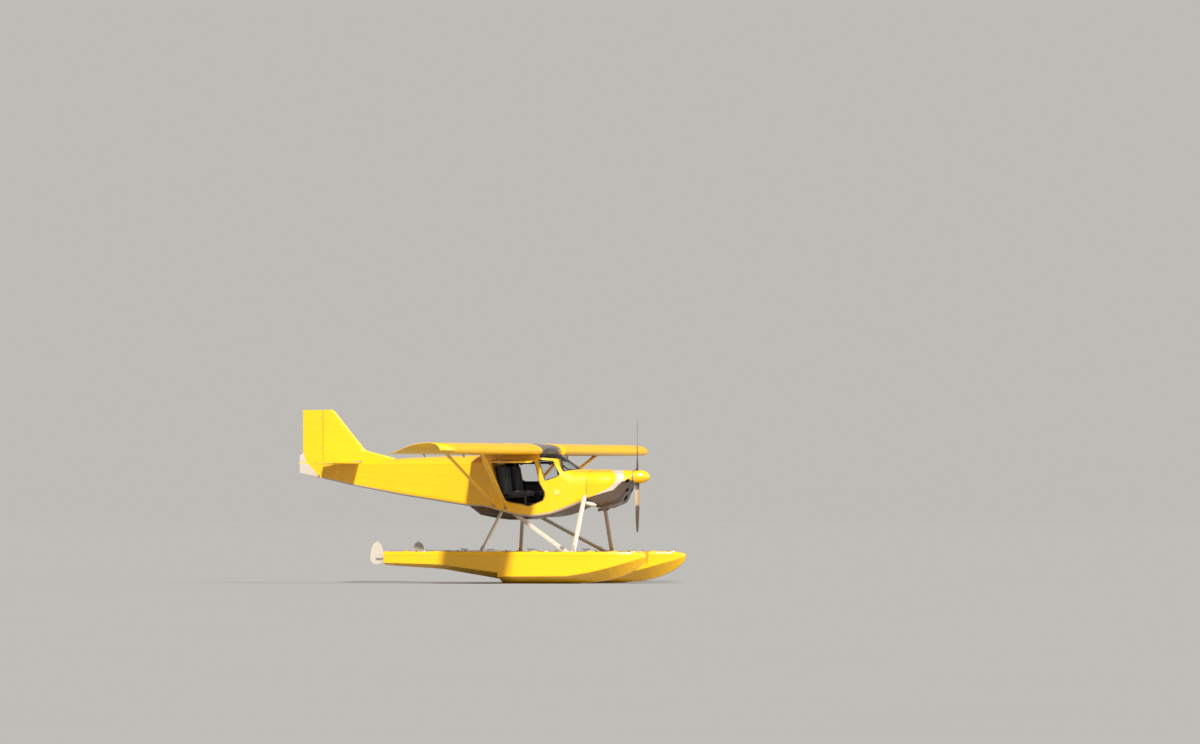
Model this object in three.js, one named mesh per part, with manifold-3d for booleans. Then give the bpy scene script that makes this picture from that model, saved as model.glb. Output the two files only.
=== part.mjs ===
// Two-seat high-wing floatplane on a pair of stepped floats.
// Millimetres. +X runs to the nose, +Y to port, +Z up. The origin is halfway along the aircraft,
// on the level that its keels rest on.
import * as THREE from 'three';
import { mergeVertices } from 'three/addons/utils/BufferGeometryUtils.js';
import Module from 'manifold-3d';

const wasm = await Module();
wasm.setup();

const GAP = 0.3; // left between pieces that touch
const CLEAR = 6; // left round pieces that move
const FAR = 9000; // reaches past the aircraft on any side

const COLOURS = {
  yellow: { color: 0xf2c40c, roughness: 0.35, metalness: 0.0 },
  silver: { color: 0xb9b4ab, roughness: 0.4, metalness: 0.1 },
  white: { color: 0xe6e2dc, roughness: 0.4, metalness: 0.0 },
  glass: { color: 0xc9cfd2, roughness: 0.05, metalness: 0.0 },
  iron: { color: 0x3a3a3c, roughness: 0.6, metalness: 0.7 },
  timber: { color: 0x9a7142, roughness: 0.4, metalness: 0.0 },
  black: { color: 0x1b1b1d, roughness: 0.7, metalness: 0.0 },
  cloth: { color: 0x3d3f44, roughness: 0.9, metalness: 0.0 },
  alloy: { color: 0xa6a9ad, roughness: 0.35, metalness: 0.9 },
};

const WALL = 25; // fuselage wall: tube frame, fabric and lining
const SKIN = 8; // cowl moulding
const PANE = 5; // glazing
const BULKHEAD = 200; // x of the rear cabin bulkhead
const FIREWALL = 1960; // x of the firewall
const POST = -2749; // x of the sternpost, where the fuselage and fin end
const CABIN_HALF = 520; // half width over the doors
const ROOF = 2064.7; // top of the cabin sides

// Fuselage stations from the sternpost to the bulkhead, then the cabin, then the part ahead of the wing.
// low and top are half widths at the bottom and top corners, crown is the rise of the middle of the top.
const TAIL_STATIONS = [
  { x: POST, low: 34, top: 36, belly: 1684, crease: 1928, crown: 6, rLow: 14, rTop: 10 },
  { x: -2184, low: 118, top: 124, belly: 1568, crease: 1938, crown: 30, rLow: 38, rTop: 20 },
  { x: -1332, low: 248, top: 260, belly: 1419, crease: 1945, crown: 66, rLow: 60, rTop: 24 },
  { x: -600, low: 358, top: 372, belly: 1313, crease: 1950, crown: 90, rLow: 66, rTop: 28 },
  { x: -100, low: 434, top: 448, belly: 1243, crease: 1952, crown: 98, rLow: 66, rTop: 30 },
  { x: BULKHEAD - GAP, low: 480, top: 494, belly: 1228, crease: 1955, crown: 98, rLow: 62, rTop: 30 },
];
const CABIN_STATIONS = [
  { x: BULKHEAD, low: 480, top: 494, belly: 1228, crease: ROOF - 1, crown: 1, rLow: 62, rTop: 12 },
  { x: 340, low: 520, top: 520, belly: 1208, crease: ROOF - 1, crown: 1, rLow: 60, rTop: 12 },
  { x: 449, low: 520, top: 520, belly: 1172, crease: ROOF - 1, crown: 1, rLow: 60, rTop: 12 },
  { x: 622, low: 520, top: 520, belly: 1122, crease: ROOF - 1, crown: 1, rLow: 60, rTop: 12 },
  { x: 820, low: 520, top: 520, belly: 1080, crease: ROOF - 1, crown: 1, rLow: 60, rTop: 12 },
  { x: 1036, low: 520, top: 520, belly: 1058, crease: ROOF - 1, crown: 1, rLow: 60, rTop: 12 },
  { x: 1174, low: 520, top: 520, belly: 1066, crease: ROOF - 1, crown: 1, rLow: 60, rTop: 12 },
  { x: 1200, low: 520, top: 518, belly: 1070, crease: ROOF - 1, crown: 1, rLow: 60, rTop: 12 },
];
const FRONT_STATIONS = [
  { x: 1196, low: 520, top: 516, belly: 1070, crease: 2066, crown: 112, rLow: 60, rTop: 50 },
  { x: 1249, low: 519, top: 506, belly: 1076, crease: 2056, crown: 110, rLow: 60, rTop: 100 },
  { x: 1376, low: 514, top: 488, belly: 1098, crease: 1967, crown: 80, rLow: 62, rTop: 140 },
  { x: 1532, low: 500, top: 474, belly: 1148, crease: 1886, crown: 56, rLow: 66, rTop: 170 },
  { x: 1705, low: 478, top: 456, belly: 1216, crease: 1794, crown: 38, rLow: 74, rTop: 190 },
  { x: FIREWALL, low: 430, top: 428, belly: 1325, crease: 1793, crown: 38, rLow: 90, rTop: 190 },
];
const COWL_STATIONS = [
  { x: FIREWALL + GAP, low: 402, top: 428, belly: 1290, crease: 1793, crown: 38, rLow: 110, rTop: 190 },
  { x: 2070, low: 396, top: 420, belly: 1226, crease: 1792, crown: 38, rLow: 120, rTop: 190 },
  { x: 2180, low: 378, top: 405, belly: 1205, crease: 1791, crown: 38, rLow: 130, rTop: 190 },
  { x: 2310, low: 335, top: 372, belly: 1250, crease: 1788, crown: 38, rLow: 130, rTop: 185 },
  { x: 2435, low: 262, top: 312, belly: 1296, crease: 1782, crown: 40, rLow: 110, rTop: 165 },
  { x: 2520, low: 196, top: 246, belly: 1440, crease: 1774, crown: 42, rLow: 80, rTop: 130 },
  { x: 2600, low: 134, top: 170, belly: 1578, crease: 1764, crown: 42, rLow: 44, rTop: 80 },
  { x: 2634, low: 100, top: 122, belly: 1640, crease: 1752, crown: 38, rLow: 22, rTop: 40 },
];
// The belly pod under the cabin floor.
const POD_STATIONS = [
  { x: -86, low: 300, top: 380, belly: 1228, crease: 1330, crown: 1, rLow: 14, rTop: 10 },
  { x: 92, low: 330, top: 430, belly: 1098, crease: 1330, crown: 1, rLow: 60, rTop: 10 },
  { x: 357, low: 345, top: 440, belly: 1045, crease: 1330, crown: 1, rLow: 80, rTop: 10 },
  { x: 600, low: 350, top: 440, belly: 1018, crease: 1330, crown: 1, rLow: 90, rTop: 10 },
  { x: 864, low: 340, top: 440, belly: 1028, crease: 1330, crown: 1, rLow: 80, rTop: 10 },
  { x: 1090, low: 300, top: 420, belly: 1072, crease: 1330, crown: 1, rLow: 30, rTop: 10 },
];

// Outlines in side view, x and z.
const DOORWAY = [
  [365, 1963], [460, 1624], [581, 1342], [710, 1302], [883, 1277], [1004, 1245],
  [1125, 1282], [1250, 1330], [1280, 1400], [1279, 1463], [1194, 1608], [1108, 1963],
];
const DOOR_WINDOW = [
  [436, 1918], [508, 1658], [560, 1640], [1110, 1640], [1136, 1662], [1076, 1918],
];
const QUARTER_WINDOW = [[1286, 1652], [1479, 1716], [1520, 1752], [1384, 1958], [1186, 1976]];
const WINDSCREEN_EDGE = [[1196, 2030], [1376, 2010], [1420, 1990], [1582, 1800], [1705, 1836], [1720, 1846]];
const COWL_SPLIT = [[1950, 1366], [2385, 1495], [2515, 1636], [2640, 1658]];

const WING = { root: 520, half: 4500, le: 1250, te: 20, under: 2065 };
// Aerofoil: c is the fraction of the chord from the nose, up and down are heights over the flat underside.
const AEROFOIL = [
  { c: 0.0, up: 0.042, down: 0.042 },
  { c: 0.004, up: 0.06, down: 0.028 },
  { c: 0.014, up: 0.078, down: 0.014 },
  { c: 0.034, up: 0.096, down: 0.006 },
  { c: 0.065, up: 0.113, down: 0.002 },
  { c: 0.11, up: 0.127, down: 0 },
  { c: 0.17, up: 0.137, down: 0 },
  { c: 0.25, up: 0.142, down: 0 },
  { c: 0.34, up: 0.141, down: 0 },
  { c: 0.44, up: 0.134, down: 0 },
  { c: 0.56, up: 0.119, down: 0 },
  { c: 0.68, up: 0.096, down: 0 },
  { c: 0.8, up: 0.065, down: 0 },
  { c: 1.0, up: 0.006, down: 0 },
];
// Wing stations: lift raises the underside to the upper surface, for the bevelled tip.
const WING_STATIONS = [
  { y: WING.root, le: WING.le, te: WING.te, lift: 0 },
  { y: 3990, le: WING.le, te: WING.te, lift: 0 },
  { y: 4190, le: 1248, te: 84, lift: 0 },
  { y: 4310, le: 1236, te: 130, lift: 0.1 },
  { y: 4400, le: 1208, te: 172, lift: 0.42 },
  { y: 4465, le: 1150, te: 214, lift: 0.78 },
  { y: WING.half, le: 1060, te: 262, lift: 0.96 },
];
const FLAP = { name: 'flap', from: 620, to: 2300 };
const AILERON = { name: 'aileron', from: 2330, to: 3975 };
const WING_HINGE = { x: 280, z: 2103, nose: 36 };

const FIN_TOP = 2800;
const TAIL_HINGE_X = -2780; // rudder hinge line
const RUDDER_LUGS = [1790, 2180, 2680]; // heights of its bearings, the lowest on the sternpost
const FIN_STATIONS = [
  { z: 1930, le: -1430, half: 22 },
  { z: 2020, le: -1520, half: 22 },
  { z: 2132, le: -1985, half: 24 },
  { z: 2165, le: -2040, half: 24 },
  { z: 2755, le: -2541, half: 20 },
  { z: FIN_TOP, le: -2596, half: 19 },
];
const RUDDER_STATIONS = [
  { z: 1700, te: -2880, half: 22 },
  { z: 1782, te: -3170, half: 24 },
  { z: 2062, te: -3170, half: 24 },
  { z: 2092, te: -3112, half: 24 },
  { z: FIN_TOP - 4, te: -3112, half: 18 },
];
const TAILPLANE = { z: 1935, half: 1100, thick: 40, rootLe: -2065, tipLe: -2175, hinge: -2480, te: -2747 };
const ELEVATOR = { nose: 18, inner: 116 };

const FLOAT = { y: 900, deck: 510, keelHalf: 20, step: 730, bow: 1900, edge: 34 };
// Float stations: keel and chine are heights, chineHalf and deckHalf are half widths.
const FLOAT_STATIONS = [
  { x: -1300, keel: 297, chine: 330, chineHalf: 120, deckHalf: 118 },
  { x: -467, keel: 245, chine: 310, chineHalf: 190, deckHalf: 182 },
  { x: -260, keel: 227, chine: 300, chineHalf: 205, deckHalf: 197 },
  { x: 728, keel: 70, chine: 176, chineHalf: 272, deckHalf: 252 },
  { x: FLOAT.step, keel: 0, chine: 110, chineHalf: 280, deckHalf: 254 },
  { x: FLOAT.bow, keel: 0, chine: 118, chineHalf: 280, deckHalf: 254 },
  { x: 2280, keel: 22, chine: 176, chineHalf: 268, deckHalf: 246 },
  { x: 2600, keel: 72, chine: 250, chineHalf: 236, deckHalf: 220 },
  { x: 2880, keel: 165, chine: 330, chineHalf: 176, deckHalf: 168 },
  { x: 3060, keel: 272, chine: 388, chineHalf: 108, deckHalf: 104 },
  { x: 3140, keel: 352, chine: 418, chineHalf: 58, deckHalf: 56 },
  { x: 3170, keel: 412, chine: 438, chineHalf: 30, deckHalf: 28 },
];

const THRUST_Z = 1710;
const PROP = { x: 2680, radius: 890, slotHalf: 38, rootHalf: 58 };
const SPINNER = { back: 2641, tip: 2900, radius: 115 };
const ENGINE = { x0: 2050, x1: 2410, half: 180, z0: 1420, z1: 1750, shaft: 34 };
// Engine mount tubes run from the firewall to the block and come closer together on the way.
const MOUNT_TUBE = { y: 150, z: [1480, 1720], spread: 1.3, radius: 12 };
// Openings in the cowl's front: round ducts along x, cut from this x forwards.
const INTAKES = [
  { x: 2300, y: 0, z: 1372, r: 46 },
  { x: 2300, y: 118, z: 1500, r: 36 },
  { x: 2300, y: -118, z: 1500, r: 36 },
  { x: 2300, y: 176, z: 1640, r: 30 },
  { x: 2300, y: -176, z: 1640, r: 30 },
  { x: 2500, y: 0, z: THRUST_Z, r: 44 },
];
// Blade stations: r from the hub, chord, thickness and pitch angle in degrees.
const BLADE = [
  { r: 0, chord: 104, thick: 62, pitch: 58 },
  { r: 60, chord: 104, thick: 60, pitch: 56 },
  { r: 150, chord: 96, thick: 40, pitch: 46 },
  { r: 300, chord: 112, thick: 24, pitch: 34 },
  { r: 520, chord: 118, thick: 16, pitch: 24 },
  { r: 740, chord: 98, thick: 11, pitch: 18 },
  { r: 850, chord: 72, thick: 8, pitch: 16 },
  { r: PROP.radius, chord: 34, thick: 5, pitch: 15 },
];

// Float struts, port side: foot on the deck and head under the fuselage.
const FLOAT_STRUTS = [
  { name: 'front', foot: [1915, 872], head: [1935, 412, 1420], chord: 75, thick: 34 },
  { name: 'diagonal', foot: [1800, 872], head: [628, 400, 1180], chord: 70, thick: 30 },
  { name: 'rear', foot: [330, 872], head: [560, 400, 1260], chord: 60, thick: 28 },
];
// Fairing over each front float strut's upper fitting, centred here, with half its length, width and height.
const STRUT_CUFF = { at: [2032, 430, 1272], half: [118, 46, 36], drop: 22 };
const LIFT_STRUTS = [
  { name: 'front', foot: [628, 490, 1195], head: [1010, 2650, 2110], chord: 72, thick: 30 },
  { name: 'rear', foot: [430, 500, 1238], head: [398, 2650, 2110], chord: 62, thick: 28 },
];
const SPREADERS = [{ name: 'front', x: 1858 }, { name: 'rear', x: 262 }];

// Door hinges, two to a door: half is the door's knuckle and lug the width of each fixed one beside it.
const DOOR_HINGE = { at: [480, 980], y: 530, z: 1990, radius: 8, pin: 4.5, half: 20, lug: 12 };
const DOOR_OPEN = THREE.MathUtils.degToRad(88);

const CABIN_FLOOR = 1282;
const FLOOR_THICK = 14;
// Seat frame: pan front and rear, then the top of the back plate, as x and z.
const SEAT = { y: 245, half: 205, front: [960, 1400], rear: [510, 1380], top: [410, 1880], plate: 12 };
const PANEL_X = 1560;

// Water rudder: steering pin, then the pivot that lifts the blade and the blade's reach round it.
const WATER_RUDDER = { steerX: -1322, pivotX: -1457, pivotZ: 392, half: 117, up: 268, down: 87, thick: 6 };
// The block that turns on the steering pin between two lugs on the float's transom.
const STEER_BLOCK = { half: 12, side: 11, z0: 363, z1: 482, lug: 12, pin: 5 };

function solid(geometry) {
  const plain = geometry.index ? geometry.toNonIndexed() : geometry.clone();
  plain.deleteAttribute('normal');
  plain.deleteAttribute('uv');
  const merged = mergeVertices(plain, 1e-3);
  return new wasm.Manifold(new wasm.Mesh({
    numProp: 3,
    vertProperties: new Float32Array(merged.attributes.position.array),
    triVerts: new Uint32Array(merged.index.array),
  }));
}

function geometryOf(body) {
  const mesh = body.getMesh();
  const geometry = new THREE.BufferGeometry();
  geometry.setAttribute('position', new THREE.BufferAttribute(new Float32Array(mesh.vertProperties), 3));
  geometry.setIndex(Array.from(mesh.triVerts));
  geometry.computeVertexNormals();
  return geometry;
}

// A closed skin over rings of points, with a fan over each end.
function loft(rings) {
  const count = rings[0].length;
  const points = rings.flat();
  const faces = [];
  for (let r = 0; r + 1 < rings.length; r++) {
    for (let i = 0; i < count; i++) {
      const a = r * count + i;
      const b = r * count + (i + 1) % count;
      if (i < count / 2) faces.push(a, b, b + count, a, b + count, a + count);
      else faces.push(a, b, a + count, b, b + count, a + count);
    }
  }
  for (const r of [0, rings.length - 1]) {
    const centre = new THREE.Vector3();
    rings[r].forEach((p) => centre.addScaledVector(p, 1 / count));
    points.push(centre);
    for (let i = 0; i < count; i++) {
      const a = r * count + i;
      const b = r * count + (i + 1) % count;
      faces.push(...(r === 0 ? [b, a, points.length - 1] : [a, b, points.length - 1]));
    }
  }
  if (signedVolume(points, faces) < 0) faces.reverse();
  const geometry = new THREE.BufferGeometry().setFromPoints(points);
  geometry.setIndex(faces);
  return solid(geometry);
}

function signedVolume(points, faces) {
  let sum = 0;
  const cross = new THREE.Vector3();
  for (let i = 0; i < faces.length; i += 3) {
    cross.crossVectors(points[faces[i + 1]], points[faces[i + 2]]);
    sum += points[faces[i]].dot(cross);
  }
  return sum;
}

const AXES = {
  side: new THREE.Matrix4().makeBasis(
    new THREE.Vector3(1, 0, 0), new THREE.Vector3(0, 0, 1), new THREE.Vector3(0, -1, 0)),
  front: new THREE.Matrix4().makeBasis(
    new THREE.Vector3(0, 1, 0), new THREE.Vector3(0, 0, 1), new THREE.Vector3(1, 0, 0)),
  plan: new THREE.Matrix4(),
};

// An outline pulled straight: side runs along y, front along x and plan along z.
function prism(outline, view, from, to) {
  const shape = new THREE.Shape(outline.map(([u, v]) => new THREE.Vector2(u, v)));
  const geometry = new THREE.ExtrudeGeometry(shape, { depth: to - from, bevelEnabled: false });
  geometry.applyMatrix4(AXES[view]);
  if (view === 'side') geometry.translate(0, to, 0);
  if (view === 'front') geometry.translate(from, 0, 0);
  if (view === 'plan') geometry.translate(0, 0, from);
  return solid(geometry);
}

function box(x0, x1, y0, y1, z0, z1) {
  const geometry = new THREE.BoxGeometry(x1 - x0, y1 - y0, z1 - z0);
  geometry.translate((x0 + x1) / 2, (y0 + y1) / 2, (z0 + z1) / 2);
  return solid(geometry);
}

function rod(from, to, radius, sides = 8) {
  const a = new THREE.Vector3(...from);
  const b = new THREE.Vector3(...to);
  const direction = b.clone().sub(a);
  const geometry = new THREE.CylinderGeometry(radius, radius, direction.length(), sides);
  const turn = new THREE.Quaternion().setFromUnitVectors(new THREE.Vector3(0, 1, 0), direction.normalize());
  geometry.applyQuaternion(turn);
  const middle = a.add(b).multiplyScalar(0.5);
  geometry.translate(middle.x, middle.y, middle.z);
  return solid(geometry);
}

// Streamlined tube: u runs along the chord to the front, v across it.
const TEARDROP = [
  [0.5, 0], [0.42, 0.32], [0.2, 0.5], [-0.15, 0.42], [-0.5, 0.07],
  [-0.5, -0.07], [-0.15, -0.42], [0.2, -0.5], [0.42, -0.32],
];

function strut(from, to, chord, thick) {
  const a = new THREE.Vector3(...from);
  const b = new THREE.Vector3(...to);
  const along = b.clone().sub(a).normalize();
  const ahead = new THREE.Vector3(1, 0, 0).addScaledVector(along, -along.x).normalize();
  const across = new THREE.Vector3().crossVectors(along, ahead);
  const ring = (p) => TEARDROP.map(([u, v]) => p.clone()
    .addScaledVector(ahead, u * chord).addScaledVector(across, v * thick));
  return loft([ring(a), ring(b)]);
}

function mirrored(body) {
  const mesh = body.getMesh();
  const points = Float32Array.from(mesh.vertProperties, (v, i) => (i % 3 === 1 ? -v : v));
  return new wasm.Manifold(new wasm.Mesh({
    numProp: 3,
    vertProperties: points,
    triVerts: Uint32Array.from(mesh.triVerts).reverse(),
  }));
}

function joined(list) {
  return list.reduce((sum, item) => sum.add(item));
}

function lacking(body, list) {
  return list.reduce((rest, item) => rest.subtract(item), body);
}

const group = new THREE.Group();

function place(name, body, colour, parent = group) {
  const material = new THREE.MeshStandardMaterial(COLOURS[colour]);
  const mesh = new THREE.Mesh(geometryOf(body), material);
  mesh.name = name;
  parent.add(mesh);
}

// Fuselage

const CORNER_STEPS = 5;
const CROWN_STEPS = 4;

// Stations with one more halfway between each two, on a smooth curve through the table's columns.
function eased(stations) {
  const slope = (i, key) => {
    const before = stations[Math.max(i - 1, 0)];
    const after = stations[Math.min(i + 1, stations.length - 1)];
    return (after[key] - before[key]) / (after.x - before.x);
  };
  return stations.flatMap((s, i) => {
    const next = stations[i + 1];
    if (!next) return [s];
    const gap = next.x - s.x;
    const middle = { x: s.x + gap / 2 };
    for (const key of Object.keys(s).filter((name) => name !== 'x')) {
      middle[key] = (s[key] + next[key]) / 2 + (gap * (slope(i, key) - slope(i + 1, key))) / 8;
    }
    return [s, middle];
  });
}

// One half of a station from the middle of the belly to the middle of the top, then its mirror image.
function bodyRing(s, inset) {
  const low = s.low - inset;
  const top = s.top - inset;
  const belly = s.belly + inset;
  const crease = s.crease - inset;
  const rLow = Math.max(s.rLow - inset, 3);
  const rTop = Math.max(s.rTop - inset, 3);
  const half = [[0, belly]];
  for (let i = 0; i <= CORNER_STEPS; i++) {
    const turn = (Math.PI / 2) * (i / CORNER_STEPS);
    half.push([low - rLow + rLow * Math.sin(turn), belly + rLow - rLow * Math.cos(turn)]);
  }
  for (let i = 0; i <= CORNER_STEPS; i++) {
    const turn = (Math.PI / 2) * (i / CORNER_STEPS);
    half.push([top - rTop + rTop * Math.cos(turn), crease - rTop + rTop * Math.sin(turn)]);
  }
  for (let i = 1; i < CROWN_STEPS; i++) {
    const across = 1 - i / CROWN_STEPS;
    half.push([(top - rTop) * across, crease + s.crown * (1 - across * across)]);
  }
  half.push([0, crease + s.crown]);
  const other = half.slice(1, -1).reverse().map(([y, z]) => [-y, z]);
  return [...half, ...other].map(([y, z]) => new THREE.Vector3(s.x, y, z));
}

function bodyLoft(stations, inset = 0) {
  return loft(stations.map((s) => bodyRing(s, inset)));
}

function cabinForm(inset) {
  const rear = bodyLoft(CABIN_STATIONS, inset);
  const front = bodyLoft(FRONT_STATIONS, inset);
  return rear.add(front);
}

function sideCut(outline) {
  return prism(outline, 'side', -FAR, FAR);
}

// An outline moved inwards by a margin, each side in parallel.
function shrunk(outline, margin) {
  const area = THREE.ShapeUtils.area(outline.map(([u, v]) => new THREE.Vector2(u, v)));
  const sign = area > 0 ? 1 : -1;
  return outline.map((p, i) => {
    const before = outline[(i + outline.length - 1) % outline.length];
    const after = outline[(i + 1) % outline.length];
    const a = new THREE.Vector2(p[0] - before[0], p[1] - before[1]).normalize();
    const b = new THREE.Vector2(after[0] - p[0], after[1] - p[1]).normalize();
    const normal = new THREE.Vector2(-a.y - b.y, a.x + b.x).normalize();
    const reach = (sign * margin) / Math.max(0.5, normal.dot(new THREE.Vector2(-a.y, a.x)));
    return [p[0] + normal.x * reach, p[1] + normal.y * reach];
  });
}

const cabinOuter = cabinForm(0);
const cabinGrown = cabinForm(-GAP);
const tailOuter = bodyLoft(TAIL_STATIONS);
const tailGrown = bodyLoft(TAIL_STATIONS, -GAP);
const windscreenCut = sideCut([...WINDSCREEN_EDGE, [1760, 2300], [1196, 2300]]);

function doorFixedHinges(side) {
  const y = side * DOOR_HINGE.y;
  const parts = [];
  const { z, radius, half, lug, pin } = DOOR_HINGE;
  const inner = side * (CABIN_HALF - 6);
  for (const x of DOOR_HINGE.at) {
    for (const lugX of [x - half - 2 - lug, x + half + 2]) {
      parts.push(rod([lugX, y, z], [lugX + lug, y, z], radius));
      parts.push(box(lugX, lugX + lug, Math.min(y, inner), Math.max(y, inner), z - 4, z + radius - 1));
    }
    parts.push(rod([x - half - 10, y, z], [x + half + 10, y, z], pin));
  }
  return joined(parts);
}

function makeCabin() {
  const hollow = cabinForm(WALL).intersect(box(BULKHEAD + WALL, FIREWALL - 15, -FAR, FAR, 0, FAR));
  const shell = lacking(cabinOuter.subtract(hollow), [
    sideCut(DOORWAY), sideCut(QUARTER_WINDOW), windscreenCut,
  ]);
  place('cabin_shell', joined([shell, doorFixedHinges(1), doorFixedHinges(-1)]), 'yellow');
  const pane = cabinForm(3).subtract(cabinForm(3 + PANE));
  const quarter = pane.intersect(sideCut(shrunk(QUARTER_WINDOW, GAP)));
  place('quarter_window_port', quarter.intersect(box(0, FAR, 0, FAR, 0, FAR)), 'glass');
  place('quarter_window_starboard', quarter.intersect(box(0, FAR, -FAR, 0, 0, FAR)), 'glass');
  const edge = [...WINDSCREEN_EDGE, [1760, 2300], [1196 + GAP, 2300]];
  const screen = cabinForm(0).subtract(cabinForm(PANE));
  place('windscreen', screen.intersect(sideCut(shrunk(edge, GAP))), 'glass');
}

// The tailplane lies in a flat seat, and the elevator's torque tube turns in a trough behind it.
function makeTailCone() {
  const seat = box(-FAR, TAILPLANE.rootLe + 20, -FAR, FAR, TAILPLANE.z - TAILPLANE.thick / 2 - GAP, FAR);
  const trough = box(TAILPLANE.hinge - 30, TAILPLANE.hinge + 34, -FAR, FAR, TAILPLANE.z - 30, FAR);
  place('tail_cone', lacking(tailOuter, [seat, trough]).add(rudderLug(RUDDER_LUGS[0])), 'yellow');
}

function makePod() {
  const pod = bodyLoft(POD_STATIONS);
  place('belly_fairing', lacking(pod, [cabinGrown, tailGrown]), 'silver');
}

// Cowl and engine

function makeCowl() {
  const outer = bodyLoft(eased(COWL_STATIONS));
  const inner = bodyLoft(eased(COWL_STATIONS), SKIN).intersect(box(FIREWALL - 100, 2626, -FAR, FAR, 0, FAR));
  const rearMouth = bodyLoft([
    { ...COWL_STATIONS[0], x: FIREWALL - 20 }, { ...COWL_STATIONS[0], x: FIREWALL + 10 },
  ], SKIN);
  const intakes = INTAKES.map(({ x, y, z, r }) => rod([x, y, z], [PROP.x, y, z], r, 14));
  const shell = lacking(outer, [inner, rearMouth, ...intakes]);
  const upper = [...COWL_SPLIT, [2700, 1658], [2700, 2000], [1950, 2000]];
  const lower = [...COWL_SPLIT, [2700, 1658], [2700, 1000], [1950, 1000]];
  place('cowl_upper', shell.intersect(sideCut(upper)), 'yellow');
  place('cowl_lower', shell.intersect(sideCut(lower.map(([x, z]) => [x, z - GAP]))), 'silver');
}

function makeEngine() {
  const block = box(ENGINE.x0, ENGINE.x1, -ENGINE.half, ENGINE.half, ENGINE.z0, ENGINE.z1);
  const legs = [];
  for (const y of [-MOUNT_TUBE.y, MOUNT_TUBE.y]) {
    for (const z of MOUNT_TUBE.z) {
      legs.push(rod([FIREWALL, y * MOUNT_TUBE.spread, z], [ENGINE.x0 + 20, y, z], MOUNT_TUBE.radius));
    }
  }
  const shaft = rod([ENGINE.x1 - 20, 0, THRUST_Z], [SPINNER.back - GAP, 0, THRUST_Z], ENGINE.shaft, 16);
  place('engine_block', joined([block, shaft, ...legs]).subtract(cabinGrown), 'iron');
}

// Propeller

function blade(sign) {
  return loft(BLADE.map(({ r, chord, thick, pitch }) => {
    const angle = THREE.MathUtils.degToRad(pitch);
    return TEARDROP.map(([u, v]) => {
      const along = u * chord;
      const across = v * thick;
      const x = along * Math.sin(angle) * 0.6 - across * Math.cos(angle);
      const y = -along * Math.cos(angle) - across * Math.sin(angle);
      return new THREE.Vector3(PROP.x + x, sign * y, THRUST_Z + sign * r);
    });
  }));
}

function makePropeller() {
  const hub = box(PROP.x - PROP.slotHalf + GAP, PROP.x + PROP.slotHalf - GAP,
    -PROP.rootHalf + GAP, PROP.rootHalf - GAP, THRUST_Z - 70, THRUST_Z + 70);
  const wheel = joined([blade(1), blade(-1), hub]);
  const slab = box(PROP.x - PROP.slotHalf, PROP.x + PROP.slotHalf, -PROP.rootHalf, PROP.rootHalf,
    0, THRUST_Z + 200);
  place('propeller', wheel, 'timber');
  const profile = [[0, 0], [SPINNER.radius - 4, 0], [SPINNER.radius, 8]];
  const noseSteps = 9;
  for (let i = 1; i < noseSteps; i++) {
    const t = i / noseSteps;
    profile.push([SPINNER.radius * Math.sqrt(1 - t ** 2.1), 8 + (SPINNER.tip - SPINNER.back - 8) * t]);
  }
  profile.push([0, SPINNER.tip - SPINNER.back]);
  const lathe = new THREE.LatheGeometry(profile.map(([r, h]) => new THREE.Vector2(r, h)), 28);
  lathe.rotateZ(-Math.PI / 2);
  lathe.translate(SPINNER.back, 0, THRUST_Z);
  place('spinner', solid(lathe).subtract(slab), 'yellow');
}

// Wing

function wingRing({ y, le, te, lift }) {
  const depth = WING.le - WING.te;
  const upper = AEROFOIL.map(({ c, up }) => [c, up]);
  const lower = AEROFOIL.slice(1).reverse().map(({ c, up, down }) => [c, down + (up - down) * lift]);
  return [...upper, ...lower].map(([c, h]) =>
    new THREE.Vector3(le - c * (le - te), y, WING.under + h * depth));
}

function wingControl(y0, y1) {
  const { x, z, nose } = WING_HINGE;
  const outline = [];
  for (let i = 0; i <= 8; i++) {
    const turn = Math.PI / 2 - (Math.PI * i) / 8;
    outline.push([x + nose * Math.cos(turn), z + nose * Math.sin(turn)]);
  }
  outline.push([WING.te, WING.under], [WING.te, WING.under + 8]);
  return prism(outline, 'side', y0, y1);
}

// An arm and pin on the fixed part, and the notch and hole for them in the moving part.
function surfaceHinge(x, y, z) {
  const arm = box(x, x + 80, y - 4, y + 4, z - 9, z + 9);
  const pin = rod([x, y - 16, z], [x, y + 16, z], 5);
  const notch = box(x - 16, x + 90, y - 9, y + 9, z - 80, z + 80);
  const hole = rod([x, y - 22, z], [x, y + 22, z], 5.6);
  return { fixed: arm.add(pin), cut: notch.add(hole) };
}

function makeWingSide(side) {
  const other = side > 0 ? 'port' : 'starboard';
  const flip = (body) => (side > 0 ? body : mirrored(body));
  let wing = loft(WING_STATIONS.map(wingRing));
  const bayBack = WING_HINGE.x + WING_HINGE.nose + CLEAR;
  for (const surface of [FLAP, AILERON]) {
    let moving = wingControl(surface.from, surface.to);
    wing = wing.subtract(box(-100, bayBack, surface.from - CLEAR, surface.to + CLEAR, 1900, 2400));
    for (const y of [surface.from + 250, surface.to - 250]) {
      const hinge = surfaceHinge(WING_HINGE.x, y, WING_HINGE.z);
      wing = wing.add(hinge.fixed);
      moving = moving.subtract(hinge.cut);
    }
    place(`${surface.name}_${other}`, flip(moving), 'yellow');
  }
  place(`wing_${other}`, flip(wing), 'yellow');
}

function makeRoof() {
  const ring = (y) => wingRing({ y, le: FRONT_STATIONS[0].x - 1, te: WING.te, lift: 0 });
  place('roof_centre_section', loft([ring(-WING.root + GAP), ring(WING.root - GAP)]), 'yellow');
}

// Struts

function wingLowered() {
  return loft(WING_STATIONS.slice(0, 2).map(wingRing)).translate(0, 0, -GAP);
}

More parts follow.
